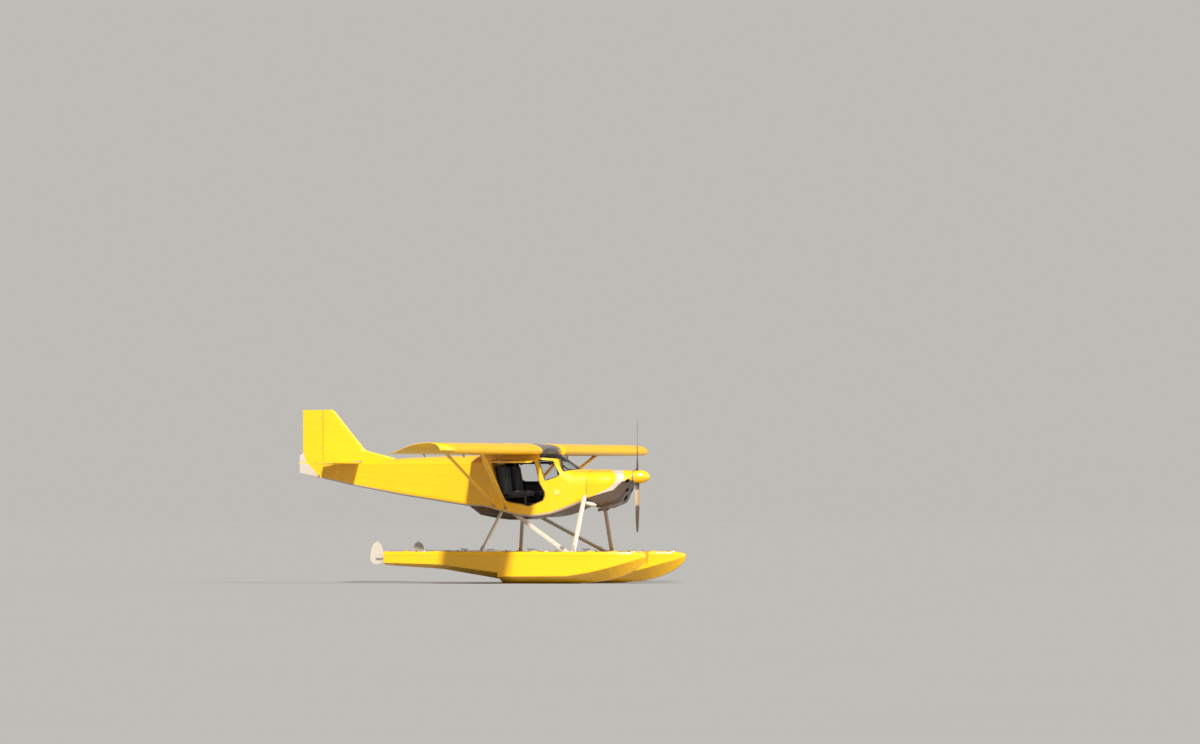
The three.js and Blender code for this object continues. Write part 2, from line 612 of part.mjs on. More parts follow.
function strutCuff() {
  const { at, half, drop } = STRUT_CUFF;
  const geometry = new THREE.SphereGeometry(1, 14, 8);
  geometry.scale(...half);
  geometry.rotateY(Math.atan2(drop, half[0]));
  geometry.translate(...at);
  return solid(geometry);
}

function makeStruts() {
  const under = wingLowered();
  const floatRaised = floatForm().translate(0, 0, GAP);
  const pod = bodyLoft(POD_STATIONS, -GAP);
  const cowl = bodyLoft(eased(COWL_STATIONS), -GAP);
  for (const { name, foot, head, chord, thick } of LIFT_STRUTS) {
    const body = lacking(strut(foot, head, chord, thick), [cabinGrown, under]);
    place(`lift_strut_${name}_port`, body, 'yellow');
    place(`lift_strut_${name}_starboard`, mirrored(body), 'yellow');
  }
  for (const { name, foot, head, chord, thick } of FLOAT_STRUTS) {
    const pad = box(foot[0] - 50, foot[0] + 50, foot[1] - 30, foot[1] + 30, FLOAT.deck - 5, FLOAT.deck + 14);
    const parts = [pad, strut([...foot, FLOAT.deck - 5], head, chord, thick)];
    if (name === 'front') parts.push(strutCuff());
    const body = lacking(joined(parts), [cabinGrown, tailGrown, pod, cowl, floatRaised]);
    place(`float_strut_${name}_port`, body, 'white');
    place(`float_strut_${name}_starboard`, mirrored(body), 'white');
  }
  for (const { name, x } of SPREADERS) {
    const z = FLOAT.deck - 70;
    const bar = rod([x, -FLOAT.y, z], [x, FLOAT.y, z], 21, 14);
    const grown = floatForm(GAP);
    place(`spreader_bar_${name}`, lacking(bar, [grown, mirrored(grown)]), 'alloy');
  }
}

// Tail

// A symmetrical section between a round nose and a blunt tail, at one height or one span station.
function sectionPoints(nose, tail, half, tailHalf) {
  const length = nose - tail;
  return [
    [nose, 0], [nose - 0.02 * length, half * 0.5], [nose - 0.1 * length, half * 0.86],
    [nose - 0.32 * length, half], [tail, tailHalf], [tail, -tailHalf],
    [nose - 0.32 * length, -half], [nose - 0.1 * length, -half * 0.86],
    [nose - 0.02 * length, -half * 0.5],
  ];
}

function rudderLug(z) {
  const arm = box(TAIL_HINGE_X, POST + 40, -9, 9, z - 4, z + 4);
  return arm.add(rod([TAIL_HINGE_X, 0, z - 16], [TAIL_HINGE_X, 0, z + 16], 5));
}

function makeFin() {
  const rings = FIN_STATIONS.map(({ z, le, half }) => sectionPoints(le, POST, half, half)
    .map(([x, y]) => new THREE.Vector3(x, y, z)));
  const seat = box(-FAR, TAILPLANE.rootLe + 20, -FAR, FAR, 0, TAILPLANE.z + TAILPLANE.thick / 2 + GAP);
  const fin = lacking(loft(rings), [tailGrown, seat]);
  place('fin', joined([fin, ...RUDDER_LUGS.slice(1).map(rudderLug)]), 'yellow');
}

function makeRudder() {
  const rings = RUDDER_STATIONS.map(({ z, te, half }) => {
    const ring = [];
    for (let i = 0; i <= 6; i++) {
      const turn = -Math.PI / 2 + (Math.PI * i) / 6;
      ring.push([TAIL_HINGE_X + half * Math.cos(turn), half * Math.sin(turn)]);
    }
    ring.push([te, 3], [te, -3]);
    return ring.map(([x, y]) => new THREE.Vector3(x, y, z));
  });
  let rudder = loft(rings);
  for (const z of RUDDER_LUGS) {
    rudder = lacking(rudder, [
      box(TAIL_HINGE_X - 16, TAIL_HINGE_X + 60, -60, 60, z - 9, z + 9),
      rod([TAIL_HINGE_X, 0, z - 22], [TAIL_HINGE_X, 0, z + 22], 5.6),
    ]);
  }
  place('rudder', rudder, 'yellow');
}

function makeTailplane() {
  const { half, thick, rootLe, tipLe, hinge, z } = TAILPLANE;
  const back = hinge + ELEVATOR.nose + CLEAR;
  const stations = [
    { y: -half, le: tipLe - 60, part: 0.6 }, { y: -half + 50, le: tipLe, part: 1 },
    { y: 0, le: rootLe, part: 1 },
    { y: half - 50, le: tipLe, part: 1 }, { y: half, le: tipLe - 60, part: 0.6 },
  ];
  let plane = loft(stations.map(({ y, le, part }) =>
    sectionPoints(le, back, (thick / 2) * part, (thick / 2) * part * 0.95)
      .map(([x, h]) => new THREE.Vector3(x, y, z + h))));
  let elevator = joined([1, -1].map((side) => elevatorHalf(side)));
  elevator = elevator.add(rod([hinge, -ELEVATOR.inner - 20, z], [hinge, ELEVATOR.inner + 20, z], 9));
  for (const y of [-820, -360, 360, 820]) {
    const one = surfaceHinge(hinge, y, z);
    plane = plane.add(one.fixed.intersect(box(-FAR, back + 10, -FAR, FAR, 0, FAR)));
    elevator = elevator.subtract(one.cut);
  }
  place('tailplane', plane, 'yellow');
  place('elevator', elevator, 'yellow');
}

function elevatorHalf(side) {
  const { hinge, te, half, z } = TAILPLANE;
  const outline = [];
  for (let i = 0; i <= 6; i++) {
    const turn = Math.PI / 2 - (Math.PI * i) / 6;
    outline.push([hinge + ELEVATOR.nose * Math.cos(turn), z + ELEVATOR.nose * Math.sin(turn)]);
  }
  outline.push([te, z - 3], [te, z + 3]);
  const y0 = Math.min(side * ELEVATOR.inner, side * half);
  return prism(outline, 'side', y0, y0 + half - ELEVATOR.inner);
}

// Floats

function floatForm(grow = 0) {
  const bow = FLOAT_STATIONS.findIndex(({ x }) => x === FLOAT.bow);
  const stations = [...FLOAT_STATIONS.slice(0, bow), ...eased(FLOAT_STATIONS.slice(bow))];
  return loft(stations.map(({ x, keel, chine, chineHalf, deckHalf }) => {
    const c = chineHalf + grow;
    const d = deckHalf + grow;
    const deck = FLOAT.deck + grow - (x > 3000 ? (x - 3000) * 0.2 : 0);
    const k = Math.min(FLOAT.keelHalf, chineHalf * 0.5);
    const e = Math.min(FLOAT.edge, d * 0.5);
    const half = [
      [k, keel - grow], [c, chine], [c - (c - d) * 0.4, chine + 0.3 * (deck - chine)],
      [d, deck - e], [d - e * 0.3, deck - e * 0.3], [d - e, deck],
    ];
    const other = [...half].reverse().map(([y, z]) => [-y, z]);
    return [...half, ...other].map(([y, z]) => new THREE.Vector3(x, FLOAT.y + y, z));
  }));
}

function makeFloats() {
  const lugs = waterRudderLugs();
  const body = floatForm().add(lugs);
  place('float_port', body, 'yellow');
  place('float_starboard', mirrored(body), 'yellow');
}

// Two lugs on the transom carry the water rudder's upright pin.
function waterRudderLugs() {
  const { steerX } = WATER_RUDDER;
  const { z0, z1, lug, pin } = STEER_BLOCK;
  const inside = FLOAT_STATIONS[0].x + 10;
  const parts = [rod([steerX, FLOAT.y, z0 - CLEAR - lug / 2], [steerX, FLOAT.y, z1 + CLEAR + lug / 2], pin)];
  for (const z of [z0 - CLEAR - lug, z1 + CLEAR]) {
    parts.push(box(steerX - lug, inside, FLOAT.y - lug, FLOAT.y + lug, z, z + lug));
  }
  return joined(parts);
}

// Blade outline in side view: an ellipse above the pivot and a flatter one below it.
function bladeOutline() {
  const { pivotX, pivotZ, half, up, down } = WATER_RUDDER;
  const outline = [];
  const steps = 20;
  for (let i = 0; i < steps; i++) {
    const turn = (2 * Math.PI * i) / steps;
    const rise = Math.sin(turn) > 0 ? up : down;
    const fullness = Math.sin(turn) > 0 ? 0.8 : 1;
    const u = Math.sign(Math.cos(turn)) * Math.abs(Math.cos(turn)) ** fullness;
    outline.push([pivotX + half * u, pivotZ + rise * Math.sin(turn)]);
  }
  return outline;
}

function makeWaterRudders() {
  const { steerX, pivotX, pivotZ, thick } = WATER_RUDDER;
  const { half, side, z0, z1, pin } = STEER_BLOCK;
  const bore = pin + 0.9;
  const block = box(steerX - half, steerX + half, FLOAT.y - side, FLOAT.y + side, z0, z1)
    .subtract(rod([steerX, FLOAT.y, z0 - 20], [steerX, FLOAT.y, z1 + 20], bore));
  const parts = [block, rod([pivotX, FLOAT.y - 8, pivotZ], [pivotX, FLOAT.y + 8, pivotZ], pin)];
  for (const y of [FLOAT.y - 10, FLOAT.y + 5]) {
    parts.push(box(pivotX - 18, steerX - half + 4, y, y + 5, pivotZ - 18, pivotZ + 18));
  }
  const post = joined(parts);
  const paddle = prism(bladeOutline(), 'side', FLOAT.y - thick / 2, FLOAT.y + thick / 2)
    .subtract(rod([pivotX, 0, pivotZ], [pivotX, FAR, pivotZ], bore));
  place('water_rudder_post_port', post, 'alloy');
  place('water_rudder_post_starboard', mirrored(post), 'alloy');
  place('water_rudder_port', paddle, 'white');
  place('water_rudder_starboard', mirrored(paddle), 'white');
}

// Doors, built closed round their hinge and turned to where they stand

function doorParts(side) {
  const outer = side * CABIN_HALF;
  const inner = side * (CABIN_HALF - WALL);
  const [y0, y1] = [Math.min(outer, inner), Math.max(outer, inner)];
  const panel = prism(shrunk(DOORWAY, CLEAR), 'side', y0, y1);
  const window = prism(DOOR_WINDOW, 'side', -FAR, FAR);
  const parts = [panel.subtract(window)];
  const { z, radius, half, pin } = DOOR_HINGE;
  const hingeY = side * DOOR_HINGE.y;
  const face = side * (CABIN_HALF - 1);
  const strapIn = side * (DOOR_HINGE.y - 2);
  const strapOut = side * (DOOR_HINGE.y + 3);
  for (const x of DOOR_HINGE.at) {
    parts.push(rod([x - half, hingeY, z], [x + half, hingeY, z], radius));
    parts.push(box(x - half, x + half, Math.min(face, strapOut), Math.max(face, strapOut), z - 90, z - 40));
    parts.push(box(x - half, x + half, Math.min(strapIn, strapOut), Math.max(strapIn, strapOut), z - 45, z));
  }
  const frame = lacking(joined(parts), DOOR_HINGE.at.map((x) =>
    rod([x - half - 10, hingeY, z], [x + half + 10, hingeY, z], pin + 0.5)));
  const mid = (y0 + y1) / 2;
  const glass = prism(shrunk(DOOR_WINDOW, GAP), 'side', mid - PANE / 2, mid + PANE / 2);
  return { frame, glass };
}

function makeDoor(side, turn) {
  const name = side > 0 ? 'port' : 'starboard';
  const { frame, glass } = doorParts(side);
  const hinge = new THREE.Group();
  hinge.position.set(0, side * DOOR_HINGE.y, DOOR_HINGE.z);
  hinge.rotation.x = side * turn;
  const inside = new THREE.Group();
  inside.position.copy(hinge.position).negate();
  hinge.add(inside);
  group.add(hinge);
  place(`door_${name}`, frame, 'yellow', inside);
  place(`door_window_${name}`, glass, 'glass', inside);
}

// Cabin fittings

function makeInterior() {
  const room = cabinForm(WALL + GAP).intersect(box(BULKHEAD + WALL + GAP, FIREWALL - 16, -FAR, FAR, 0, FAR));
  const floorTop = [[0, CABIN_FLOOR], [1450, CABIN_FLOOR], [1950, 1440]];
  const floorUnder = [...floorTop].reverse().map(([x, z]) => [x, z - FLOOR_THICK]);
  place('cabin_floor', prism([...floorTop, ...floorUnder], 'side', -FAR, FAR).intersect(room), 'black');
  const { front, rear, top, plate } = SEAT;
  const frame = [];
  for (const side of [1, -1]) {
    const y = side * SEAT.y;
    frame.push(prism([
      front, rear, top, [top[0] - plate, top[1]], [rear[0] - plate, rear[1] - plate],
      [front[0], front[1] - plate],
    ], 'side', y - SEAT.half, y + SEAT.half));
    for (const [x, height] of [[550, 1376], [910, 1392]]) {
      frame.push(box(x, x + 30, y - SEAT.half + 10, y + SEAT.half - 10, CABIN_FLOOR + GAP, height));
    }
  }
  const link = box(580, 630, -SEAT.y, SEAT.y, 1374, 1382);
  place('seat_frame', joined([...frame, link]), 'alloy');
  for (const side of [1, -1]) {
    const name = side > 0 ? 'port' : 'starboard';
    const [y0, y1] = [side * SEAT.y - SEAT.half + 5, side * SEAT.y + SEAT.half - 5];
    const pan = (x) => rear[1] + ((x - rear[0]) * (front[1] - rear[1])) / (front[0] - rear[0]) + GAP;
    const plateX = (z) => rear[0] + ((z - rear[1]) * (top[0] - rear[0])) / (top[1] - rear[1]) + GAP;
    const cushion = [[970, pan(970)], [970, 1486], [596, 1470], [596, pan(596)]];
    place(`seat_cushion_${name}`, prism(cushion, 'side', y0, y1), 'cloth');
    const back = [[plateX(1400), 1400], [590, 1404], [560, 1560], [506, 1892], [plateX(1892), 1892]];
    place(`seat_back_${name}`, prism(back, 'side', y0, y1), 'cloth');
  }
  const board = box(PANEL_X, PANEL_X + 20, -FAR, FAR, 1560, 2000);
  const hood = prism([[PANEL_X - 60, 1770], [PANEL_X + 10, 1776], [PANEL_X + 10, 1764], [PANEL_X - 60, 1758]],
    'side', -400, 400);
  const below = sideCut([[1000, 1000], [2000, 1000], [2000, 1790], [1000, 1790]]);
  place('instrument_panel', board.add(hood).intersect(room).intersect(below), 'black');
  const stick = joined([
    rod([1112, 0, CABIN_FLOOR + GAP], [1112, 0, 1520], 14),
    rod([1110, -110, 1570], [1110, 110, 1570], 10),
    rod([1110, 0, 1500], [1110, 0, 1570], 12),
    rod([1110, -110, 1560], [1116, -110, 1680], 15),
    rod([1110, 110, 1560], [1116, 110, 1680], 15),
  ]);
  place('control_stick', stick, 'black');
}

makeCabin();
makeTailCone();
makePod();
makeCowl();
makeEngine();
makePropeller();
makeWingSide(1);
makeWingSide(-1);
makeRoof();
makeStruts();
makeFin();
makeRudder();
makeTailplane();
makeFloats();
makeWaterRudders();
makeDoor(1, 0);
makeDoor(-1, DOOR_OPEN);
makeInterior();

export default group;
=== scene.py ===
"""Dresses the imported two-seat floatplane: paint, glass, fittings, seats, floor, light and camera.

Every piece is built in metres in the aircraft's own frame: +X to the nose, +Y to port, +Z up.
"""
import math

import bmesh
import bpy
from mathutils import Matrix, Vector
from mathutils.bvhtree import BVHTree


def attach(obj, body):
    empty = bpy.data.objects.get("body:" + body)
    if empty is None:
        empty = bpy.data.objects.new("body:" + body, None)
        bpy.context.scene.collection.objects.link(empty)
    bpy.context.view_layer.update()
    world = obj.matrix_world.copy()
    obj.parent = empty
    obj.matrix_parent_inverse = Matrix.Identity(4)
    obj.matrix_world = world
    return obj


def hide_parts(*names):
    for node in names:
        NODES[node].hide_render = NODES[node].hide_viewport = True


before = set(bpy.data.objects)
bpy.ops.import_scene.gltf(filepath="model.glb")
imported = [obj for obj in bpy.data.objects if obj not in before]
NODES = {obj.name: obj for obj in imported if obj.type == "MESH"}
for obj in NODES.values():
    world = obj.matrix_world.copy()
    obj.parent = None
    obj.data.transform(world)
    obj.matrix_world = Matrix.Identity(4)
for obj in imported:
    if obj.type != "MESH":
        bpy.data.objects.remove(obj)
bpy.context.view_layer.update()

bl_info = {
    "name": "Floatplane finish",
    "version": (1, 0, 0),
    "blender": (4, 5, 0),
    "location": "3D view > Sidebar > Floatplane",
    "description": "Paint, glass, fittings, seats and stage for a two-seat floatplane",
    "category": "Object",
}

SIDES = {"port": 1, "starboard": -1}

# Outlines in side view, x and z.
DOORWAY = [
    (0.365, 1.963), (0.460, 1.624), (0.581, 1.342), (0.710, 1.302), (0.883, 1.277), (1.004, 1.245),
    (1.125, 1.282), (1.250, 1.330), (1.280, 1.400), (1.279, 1.463), (1.194, 1.608), (1.108, 1.963),
]
DOOR_WINDOW = [(0.436, 1.918), (0.508, 1.658), (0.560, 1.640), (1.110, 1.640), (1.136, 1.662), (1.076, 1.918)]
QUARTER_WINDOW = [(1.286, 1.652), (1.479, 1.716), (1.520, 1.752), (1.384, 1.958), (1.186, 1.976)]
WINDSCREEN_EDGE = [(1.200, 2.029), (1.376, 2.010), (1.420, 1.990), (1.582, 1.800), (1.702, 1.836)]
COWL_SPLIT = [(1.962, 1.369), (2.385, 1.495), (2.515, 1.636), (2.630, 1.657)]

# Paint lines. The hull's are x and z, the nose's are z and x, the rudder's is z and x.
YELLOW_LOWER_EDGE = [
    (-2.80, 1.716), (-2.184, 1.596), (-1.332, 1.447), (-0.600, 1.341), (-0.100, 1.271), (0.200, 1.256),
    (0.449, 1.203), (0.622, 1.156), (0.820, 1.118), (1.036, 1.102), (1.200, 1.116), (1.376, 1.146),
    (1.532, 1.197), (1.705, 1.263), (1.970, 1.362),
]
SILVER_UPPER_EDGE = [
    (-2.80, 1.690), (-2.184, 1.576), (-1.332, 1.427), (-0.600, 1.321), (-0.100, 1.251), (0.200, 1.236),
    (0.449, 1.180), (0.622, 1.130), (0.820, 1.088), (1.036, 1.066), (1.200, 1.078), (1.376, 1.106),
    (1.532, 1.156), (1.705, 1.224), (1.970, 1.335),
]
YELLOW_FRONT_EDGE = [
    (1.340, 1.945), (1.4145, 2.103), (1.502, 2.280), (1.571, 2.381), (1.658, 2.431), (1.747, 2.416),
    (1.816, 2.290), (1.840, 2.200),
]
CAP_REAR_EDGE = [(1.600, 2.600), (1.660, 2.528), (1.711, 2.537), (1.790, 2.480), (1.818, 2.450), (1.840, 2.400)]
RUDDER_WHITE_EDGE = [
    (1.700, -2.800), (1.737, -2.840), (1.882, -2.973), (1.963, -3.056), (2.205, -3.138), (2.30, -3.2),
]

WING_ROOT = 0.520
WING_UNDER = 2.065
WING_BAY = 0.322
TIP_END = 4.500
FLAP_SPAN = (0.620, 2.300)
AILERON_SPAN = (2.330, 3.975)
FLOAT_Y = 0.900
FLOAT_DECK = 0.510
THRUST_Z = 1.710
PROP_X = 2.680
HUB_HALF = 0.0375
DOOR_HINGE = (0.530, 1.990)
DOOR_OPEN = 88
FLOOR_CLEAR = 1.460
ROOF_PANE = (1.000, 0.470)
FIREWALL = 1.960
PANEL_X = 1.560
SEAT_Y = 0.245
DOOR_OUTER, DOOR_INNER = 0.520, 0.495
WATER_RUDDER = (-1.457, 0.392)
SPREADER_Z = 0.440

# Where rays start that look for a surface from above, from below the wing and from the side, and their aims.
OVERHEAD, BENEATH, OUTSIDE = 3.0, 1.0, 2.0
DOWN, UP = (0, 0, -1), (0, 0, 1)

# Thread pitch of the covering and of the seats, angle of a sharp edge, width and rise of the tail's tapes, and
# the floor's colour.
COVER_WEAVE, SEAT_WEAVE = 0.0016, 0.0035
SHARP_EDGE = 32
TAIL_TAPE, TAIL_RISE = 0.022, 0.0013
FLOOR_GREY = (0.327, 0.327, 0.328)

# Port side: foot on the float's deck and head under the fuselage.
FLOAT_STRUTS = {
    "front": ((1.915, 0.872, FLOAT_DECK), (1.935, 0.412, 1.420)),
    "diagonal": ((1.800, 0.872, FLOAT_DECK), (0.628, 0.400, 1.180)),
    "rear": ((0.330, 0.872, FLOAT_DECK), (0.560, 0.400, 1.260)),
}
# Port side: foot on the fuselage and head at the wing.
LIFT_STRUTS = {
    "front": ((0.628, 0.490, 1.195), (1.010, 2.650, 2.110)),
    "rear": ((0.430, 0.500, 1.238), (0.398, 2.650, 2.110)),
}

# The floats' lower edge ahead of the step: x and z.
CHINE = [(0.80, 0.110), (1.90, 0.118), (2.28, 0.176), (2.60, 0.250), (2.88, 0.330), (3.06, 0.388)]

# Openings in the front of the cowl: y, z and radius.
INTAKES = [
    (0.0, 1.372, 0.046), (0.118, 1.500, 0.036), (-0.118, 1.500, 0.036), (0.176, 1.640, 0.030),
    (-0.176, 1.640, 0.030),
]

# Propeller blade: distance from the hub, chord, thickness and pitch angle in degrees.
BLADE = [
    (0.000, 0.104, 0.062, 58), (0.060, 0.104, 0.060, 56), (0.150, 0.096, 0.040, 46), (0.300, 0.112, 0.024, 34),
    (0.520, 0.118, 0.016, 24), (0.740, 0.098, 0.011, 18), (0.850, 0.072, 0.008, 16), (0.890, 0.034, 0.005, 15),
]


# Settings


class PaintSettings(bpy.types.PropertyGroup):
    """Colours of the aircraft's finishes."""

    yellow: bpy.props.FloatVectorProperty(
        name="Yellow", description="Main colour of wings, fuselage and floats",
        default=(0.92, 0.50, 0.004), min=0.0, max=1.0, size=3, subtype="COLOR")
    white: bpy.props.FloatVectorProperty(
        name="White", description="Nose band, lower stripe and struts",
        default=(0.56, 0.49, 0.41), min=0.0, max=1.0, size=3, subtype="COLOR")
    silver: bpy.props.FloatVectorProperty(
        name="Silver", description="Lower cowl, belly fairing and belly",
        default=(0.115, 0.078, 0.058), min=0.0, max=1.0, size=3, subtype="COLOR")
    wood: bpy.props.FloatVectorProperty(
        name="Wood", description="Lacquered propeller blades",
        default=(0.060, 0.032, 0.018), min=0.0, max=1.0, size=3, subtype="COLOR")
    trim: bpy.props.FloatVectorProperty(
        name="Trim", description="Cabin lining, panel and rubber",
        default=(0.022, 0.020, 0.019), min=0.0, max=1.0, size=3, subtype="COLOR")
    cloth: bpy.props.FloatVectorProperty(
        name="Seat cloth", description="Seat cushions and backs",
        default=(0.050, 0.052, 0.060), min=0.0, max=1.0, size=3, subtype="COLOR")


class FittingSettings(bpy.types.PropertyGroup):
    """Sizes of the fittings that are laid over the frame."""

    rib_pitch: bpy.props.FloatProperty(
        name="Rib pitch", description="Distance between wing ribs",
        default=0.300, min=0.1, max=0.6, unit="LENGTH")
    tape_width: bpy.props.FloatProperty(
        name="Tape width", description="Width of the fabric tape over a rib",
        default=0.032, min=0.01, max=0.08, unit="LENGTH")
    pad_voxel: bpy.props.FloatProperty(
        name="Pad voxel", description="Voxel size that the seat pads are remeshed at",
        default=0.0065, min=0.004, max=0.02, unit="LENGTH")


class StageSettings(bpy.types.PropertyGroup):
    """Floor, light and camera."""

    floor_half: bpy.props.FloatProperty(
        name="Floor half size", description="Half the width of the floor",
        default=900.0, min=20.0, unit="LENGTH")
    key_strength: bpy.props.FloatProperty(
        name="Key light", description="Strength of the sun from starboard", default=5.2, min=0.0)
    world_strength: bpy.props.FloatProperty(
        name="Sky light", description="Strength of the pale surroundings", default=0.52, min=0.0)
    camera_place: bpy.props.FloatVectorProperty(
        name="Camera place", description="Where the camera stands",
        default=(71.5, -181.8, 1.18), size=3, subtype="TRANSLATION", unit="LENGTH")
    camera_aim: bpy.props.FloatVectorProperty(
        name="Camera aim", description="Point at the middle of the picture",
        default=(1.902, 0.356, 3.397), size=3, subtype="TRANSLATION", unit="LENGTH")
    lens: bpy.props.FloatProperty(
        name="Lens", description="Focal length in millimetres on a 36 mm sensor", default=363.6, min=20.0)


# Shapes


class Shape:
    """Points and faces of one piece."""

    def __init__(self):
        self.points = []
        self.faces = []

    def add(self, points, faces):
        start = len(self.points)
        self.points.extend(Vector(p) for p in points)
        self.faces.extend([start + i for i in face] for face in faces)
        return self

    def rings(self, rings, closed=False, caps=True):
        """Skins a row of rings that have the same number of points."""
        count = len(rings[0])
        faces = []
        last = len(rings) if closed else len(rings) - 1
        for r in range(last):
            for i in range(count):
                a = r * count + i
                b = r * count + (i + 1) % count
                c = ((r + 1) % len(rings)) * count + (i + 1) % count
                d = ((r + 1) % len(rings)) * count + i
                faces.append((a, b, c, d))
        if caps and not closed:
            faces.append(tuple(reversed(range(count))))
            faces.append(tuple(range((len(rings) - 1) * count, len(rings) * count)))
        return self.add([p for ring in rings for p in ring], faces)

    def box(self, low, high):
        (x0, y0, z0), (x1, y1, z1) = low, high
        ring = [(y0, z0), (y1, z0), (y1, z1), (y0, z1)]
        return self.rings([[(x, y, z) for y, z in ring] for x in (x0, x1)])

    def rod(self, a, b, radius, sides=12, end_radius=None):
        return self.tube([a, b], radius, sides, end_radius)

    def tube(self, path, radius, sides=10, end_radius=None, closed=False):
        """A round tube along a path. The frame is carried from point to point, so it doesn't twist."""
        path = [Vector(p) for p in path]
        end_radius = radius if end_radius is None else end_radius
        count = len(path)
        across = None
        rings = []
        for i, p in enumerate(path):
            before = path[i - 1] if i or closed else p
            after = path[(i + 1) % count] if i < count - 1 or closed else p
            along = (after - before).normalized()
            if across is None:
                across = along.orthogonal()
            across = (across - along * across.dot(along)).normalized()
            up = along.cross(across)
            r = radius + (end_radius - radius) * i / max(count - 1, 1)
            rings.append([
                p + across * (r * math.cos(t)) + up * (r * math.sin(t))
                for t in (2 * math.pi * k / sides for k in range(sides))
            ])
        return self.rings(rings, closed=closed)

    def lathe(self, centre, axis, profile, sides=24):
        """A profile of radius and height turned round an axis."""
        centre = Vector(centre)
        axis = Vector(axis).normalized()
        across = axis.orthogonal().normalized()
        up = axis.cross(across)
        rings = []
        for radius, height in profile:
            r = max(radius, 1e-5)
            rings.append([
                centre + axis * height + across * (r * math.cos(t)) + up * (r * math.sin(t))
                for t in (2 * math.pi * k / sides for k in range(sides))
            ])
        return self.rings(rings)

    def strip(self, path, normals, width, rise, sink=0.001, closed=False):
        """A flat tape with bevelled edges, laid along a path with the surface's normals."""
        count = len(path)
        rings = []
        for i, (p, n) in enumerate(zip(path, normals)):
            before = path[i - 1] if i or closed else p
            after = path[(i + 1) % count] if i < count - 1 or closed else p
            across = (after - before).cross(n).normalized()
            rings.append([
                p + across * (side * width / 2 * part) + n * lift
                for side, part, lift in ((-1, 1, -sink), (-1, 0.8, rise), (1, 0.8, rise), (1, 1, -sink))
            ])
        return self.rings(rings, closed=closed)

    def heads(self, places, radius, rise):
        """Low round heads of screws or rivets at points with normals."""
        for place, normal in places:
            self.lathe(place, normal, [
                (radius, -radius * 0.3), (radius, rise * 0.3), (radius * 0.6, rise), (0, rise * 1.1),
            ], 8)
        return self

    def turned(self, matrix):
        self.points = [matrix @ p for p in self.points]
        return self


def make_piece(name, shape, look, body="airframe", slot=None, bevel=0.0, angle=35):
    """Makes an object from a shape, and lets it ride on a body. The slot argument is not used."""
    slot = slot or LOOK_SLOTS[look]
    mesh = bpy.data.meshes.new(name)
    mesh.from_pydata([tuple(p) for p in shape.points], [], shape.faces)
    mesh.validate()
    work = bmesh.new()
    work.from_mesh(mesh)
    bmesh.ops.recalc_face_normals(work, faces=work.faces)
    work.to_mesh(mesh)
    work.free()
    mesh.materials.append(finish(look))
    made = bpy.data.objects.new(name, mesh)
    bpy.context.scene.collection.objects.link(made)
    smooth(mesh, angle)
    if bevel:
        edges = made.modifiers.new("Rounded edges", "BEVEL")
        edges.width = bevel
        edges.segments = 2
        edges.limit_method = "ANGLE"
        edges.angle_limit = math.radians(40)
    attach(made, body)
    return made


def smooth(mesh, angle):
    mesh.shade_smooth()
    mesh.set_sharp_from_angle(angle=math.radians(angle))


class Skin:
    """Finds points on the surface of CAD nodes or of pieces."""

    def __init__(self, *things):
        points = []
        faces = []
        for thing in things:
            thing = NODES[thing] if isinstance(thing, str) else thing
            start = len(points)
            points.extend(thing.matrix_world @ v.co for v in thing.data.vertices)
            faces.extend([start + i for i in face.vertices] for face in thing.data.polygons)
        self.tree = BVHTree.FromPolygons(points, faces)

    def meet(self, start, direction):
        """The first point and normal met from a start in a direction."""
        place, normal, _, _ = self.tree.ray_cast(Vector(start), Vector(direction).normalized())
        if place is None:
            raise ValueError(f"no surface from {tuple(start)} towards {tuple(direction)}")
        if normal.dot(Vector(direction)) > 0:
            normal = -normal
        return place, normal

    def trace(self, starts, direction):
        """Points and normals met from a row of starts."""
        found = [self.meet(start, direction) for start in starts]
        return [p for p, _ in found], [n for _, n in found]

    def side(self, outline, side):
        """Points and normals of a side view outline on one side of the aircraft."""
        return self.trace([(x, side * OUTSIDE, z) for x, z in outline], (0, -side, 0))

    def above(self, places):
        """Points and normals met from above, at pairs of x and y."""
        return self.trace([(x, y, OVERHEAD) for x, y in places], DOWN)

    def below(self, places):
        """Points and normals met from below, at pairs of x and y."""
        return self.trace([(x, y, BENEATH) for x, y in places], UP)


SKINS = {}


def skin(*names):
    if names not in SKINS:
        SKINS[names] = Skin(*names)
    return SKINS[names]


def spaced(outline, step, closed=False):
    """Points along an outline, no further apart than the step."""
    corners = list(outline)
    if closed:
        corners.append(corners[0])
    out = []
    for a, b in zip(corners, corners[1:]):
        a, b = Vector(a), Vector(b)
        parts = max(1, math.ceil((b - a).length / step))
        out.extend(a.lerp(b, k / parts) for k in range(parts))
    if not closed:
        out.append(Vector(corners[-1]))
    return [tuple(p) for p in out]


def inset(outline, margin):
    """A closed outline moved inwards by a margin, or outwards where the margin is negative."""
    area = sum(a[0] * b[1] - b[0] * a[1] for a, b in zip(outline, outline[1:] + outline[:1]))
    sign = 1 if area > 0 else -1
    out = []
    for i, (x, z) in enumerate(outline):
        before, after = Vector(outline[i - 1]), Vector(outline[(i + 1) % len(outline)])
        a = (Vector((x, z)) - before).normalized()
        b = (after - Vector((x, z))).normalized()
        normal = Vector((-a.y - b.y, a.x + b.x)).normalized()
        reach = sign * margin / max(0.5, normal.dot(Vector((-a.y, a.x))))
        out.append((x + normal.x * reach, z + normal.y * reach))
    return out


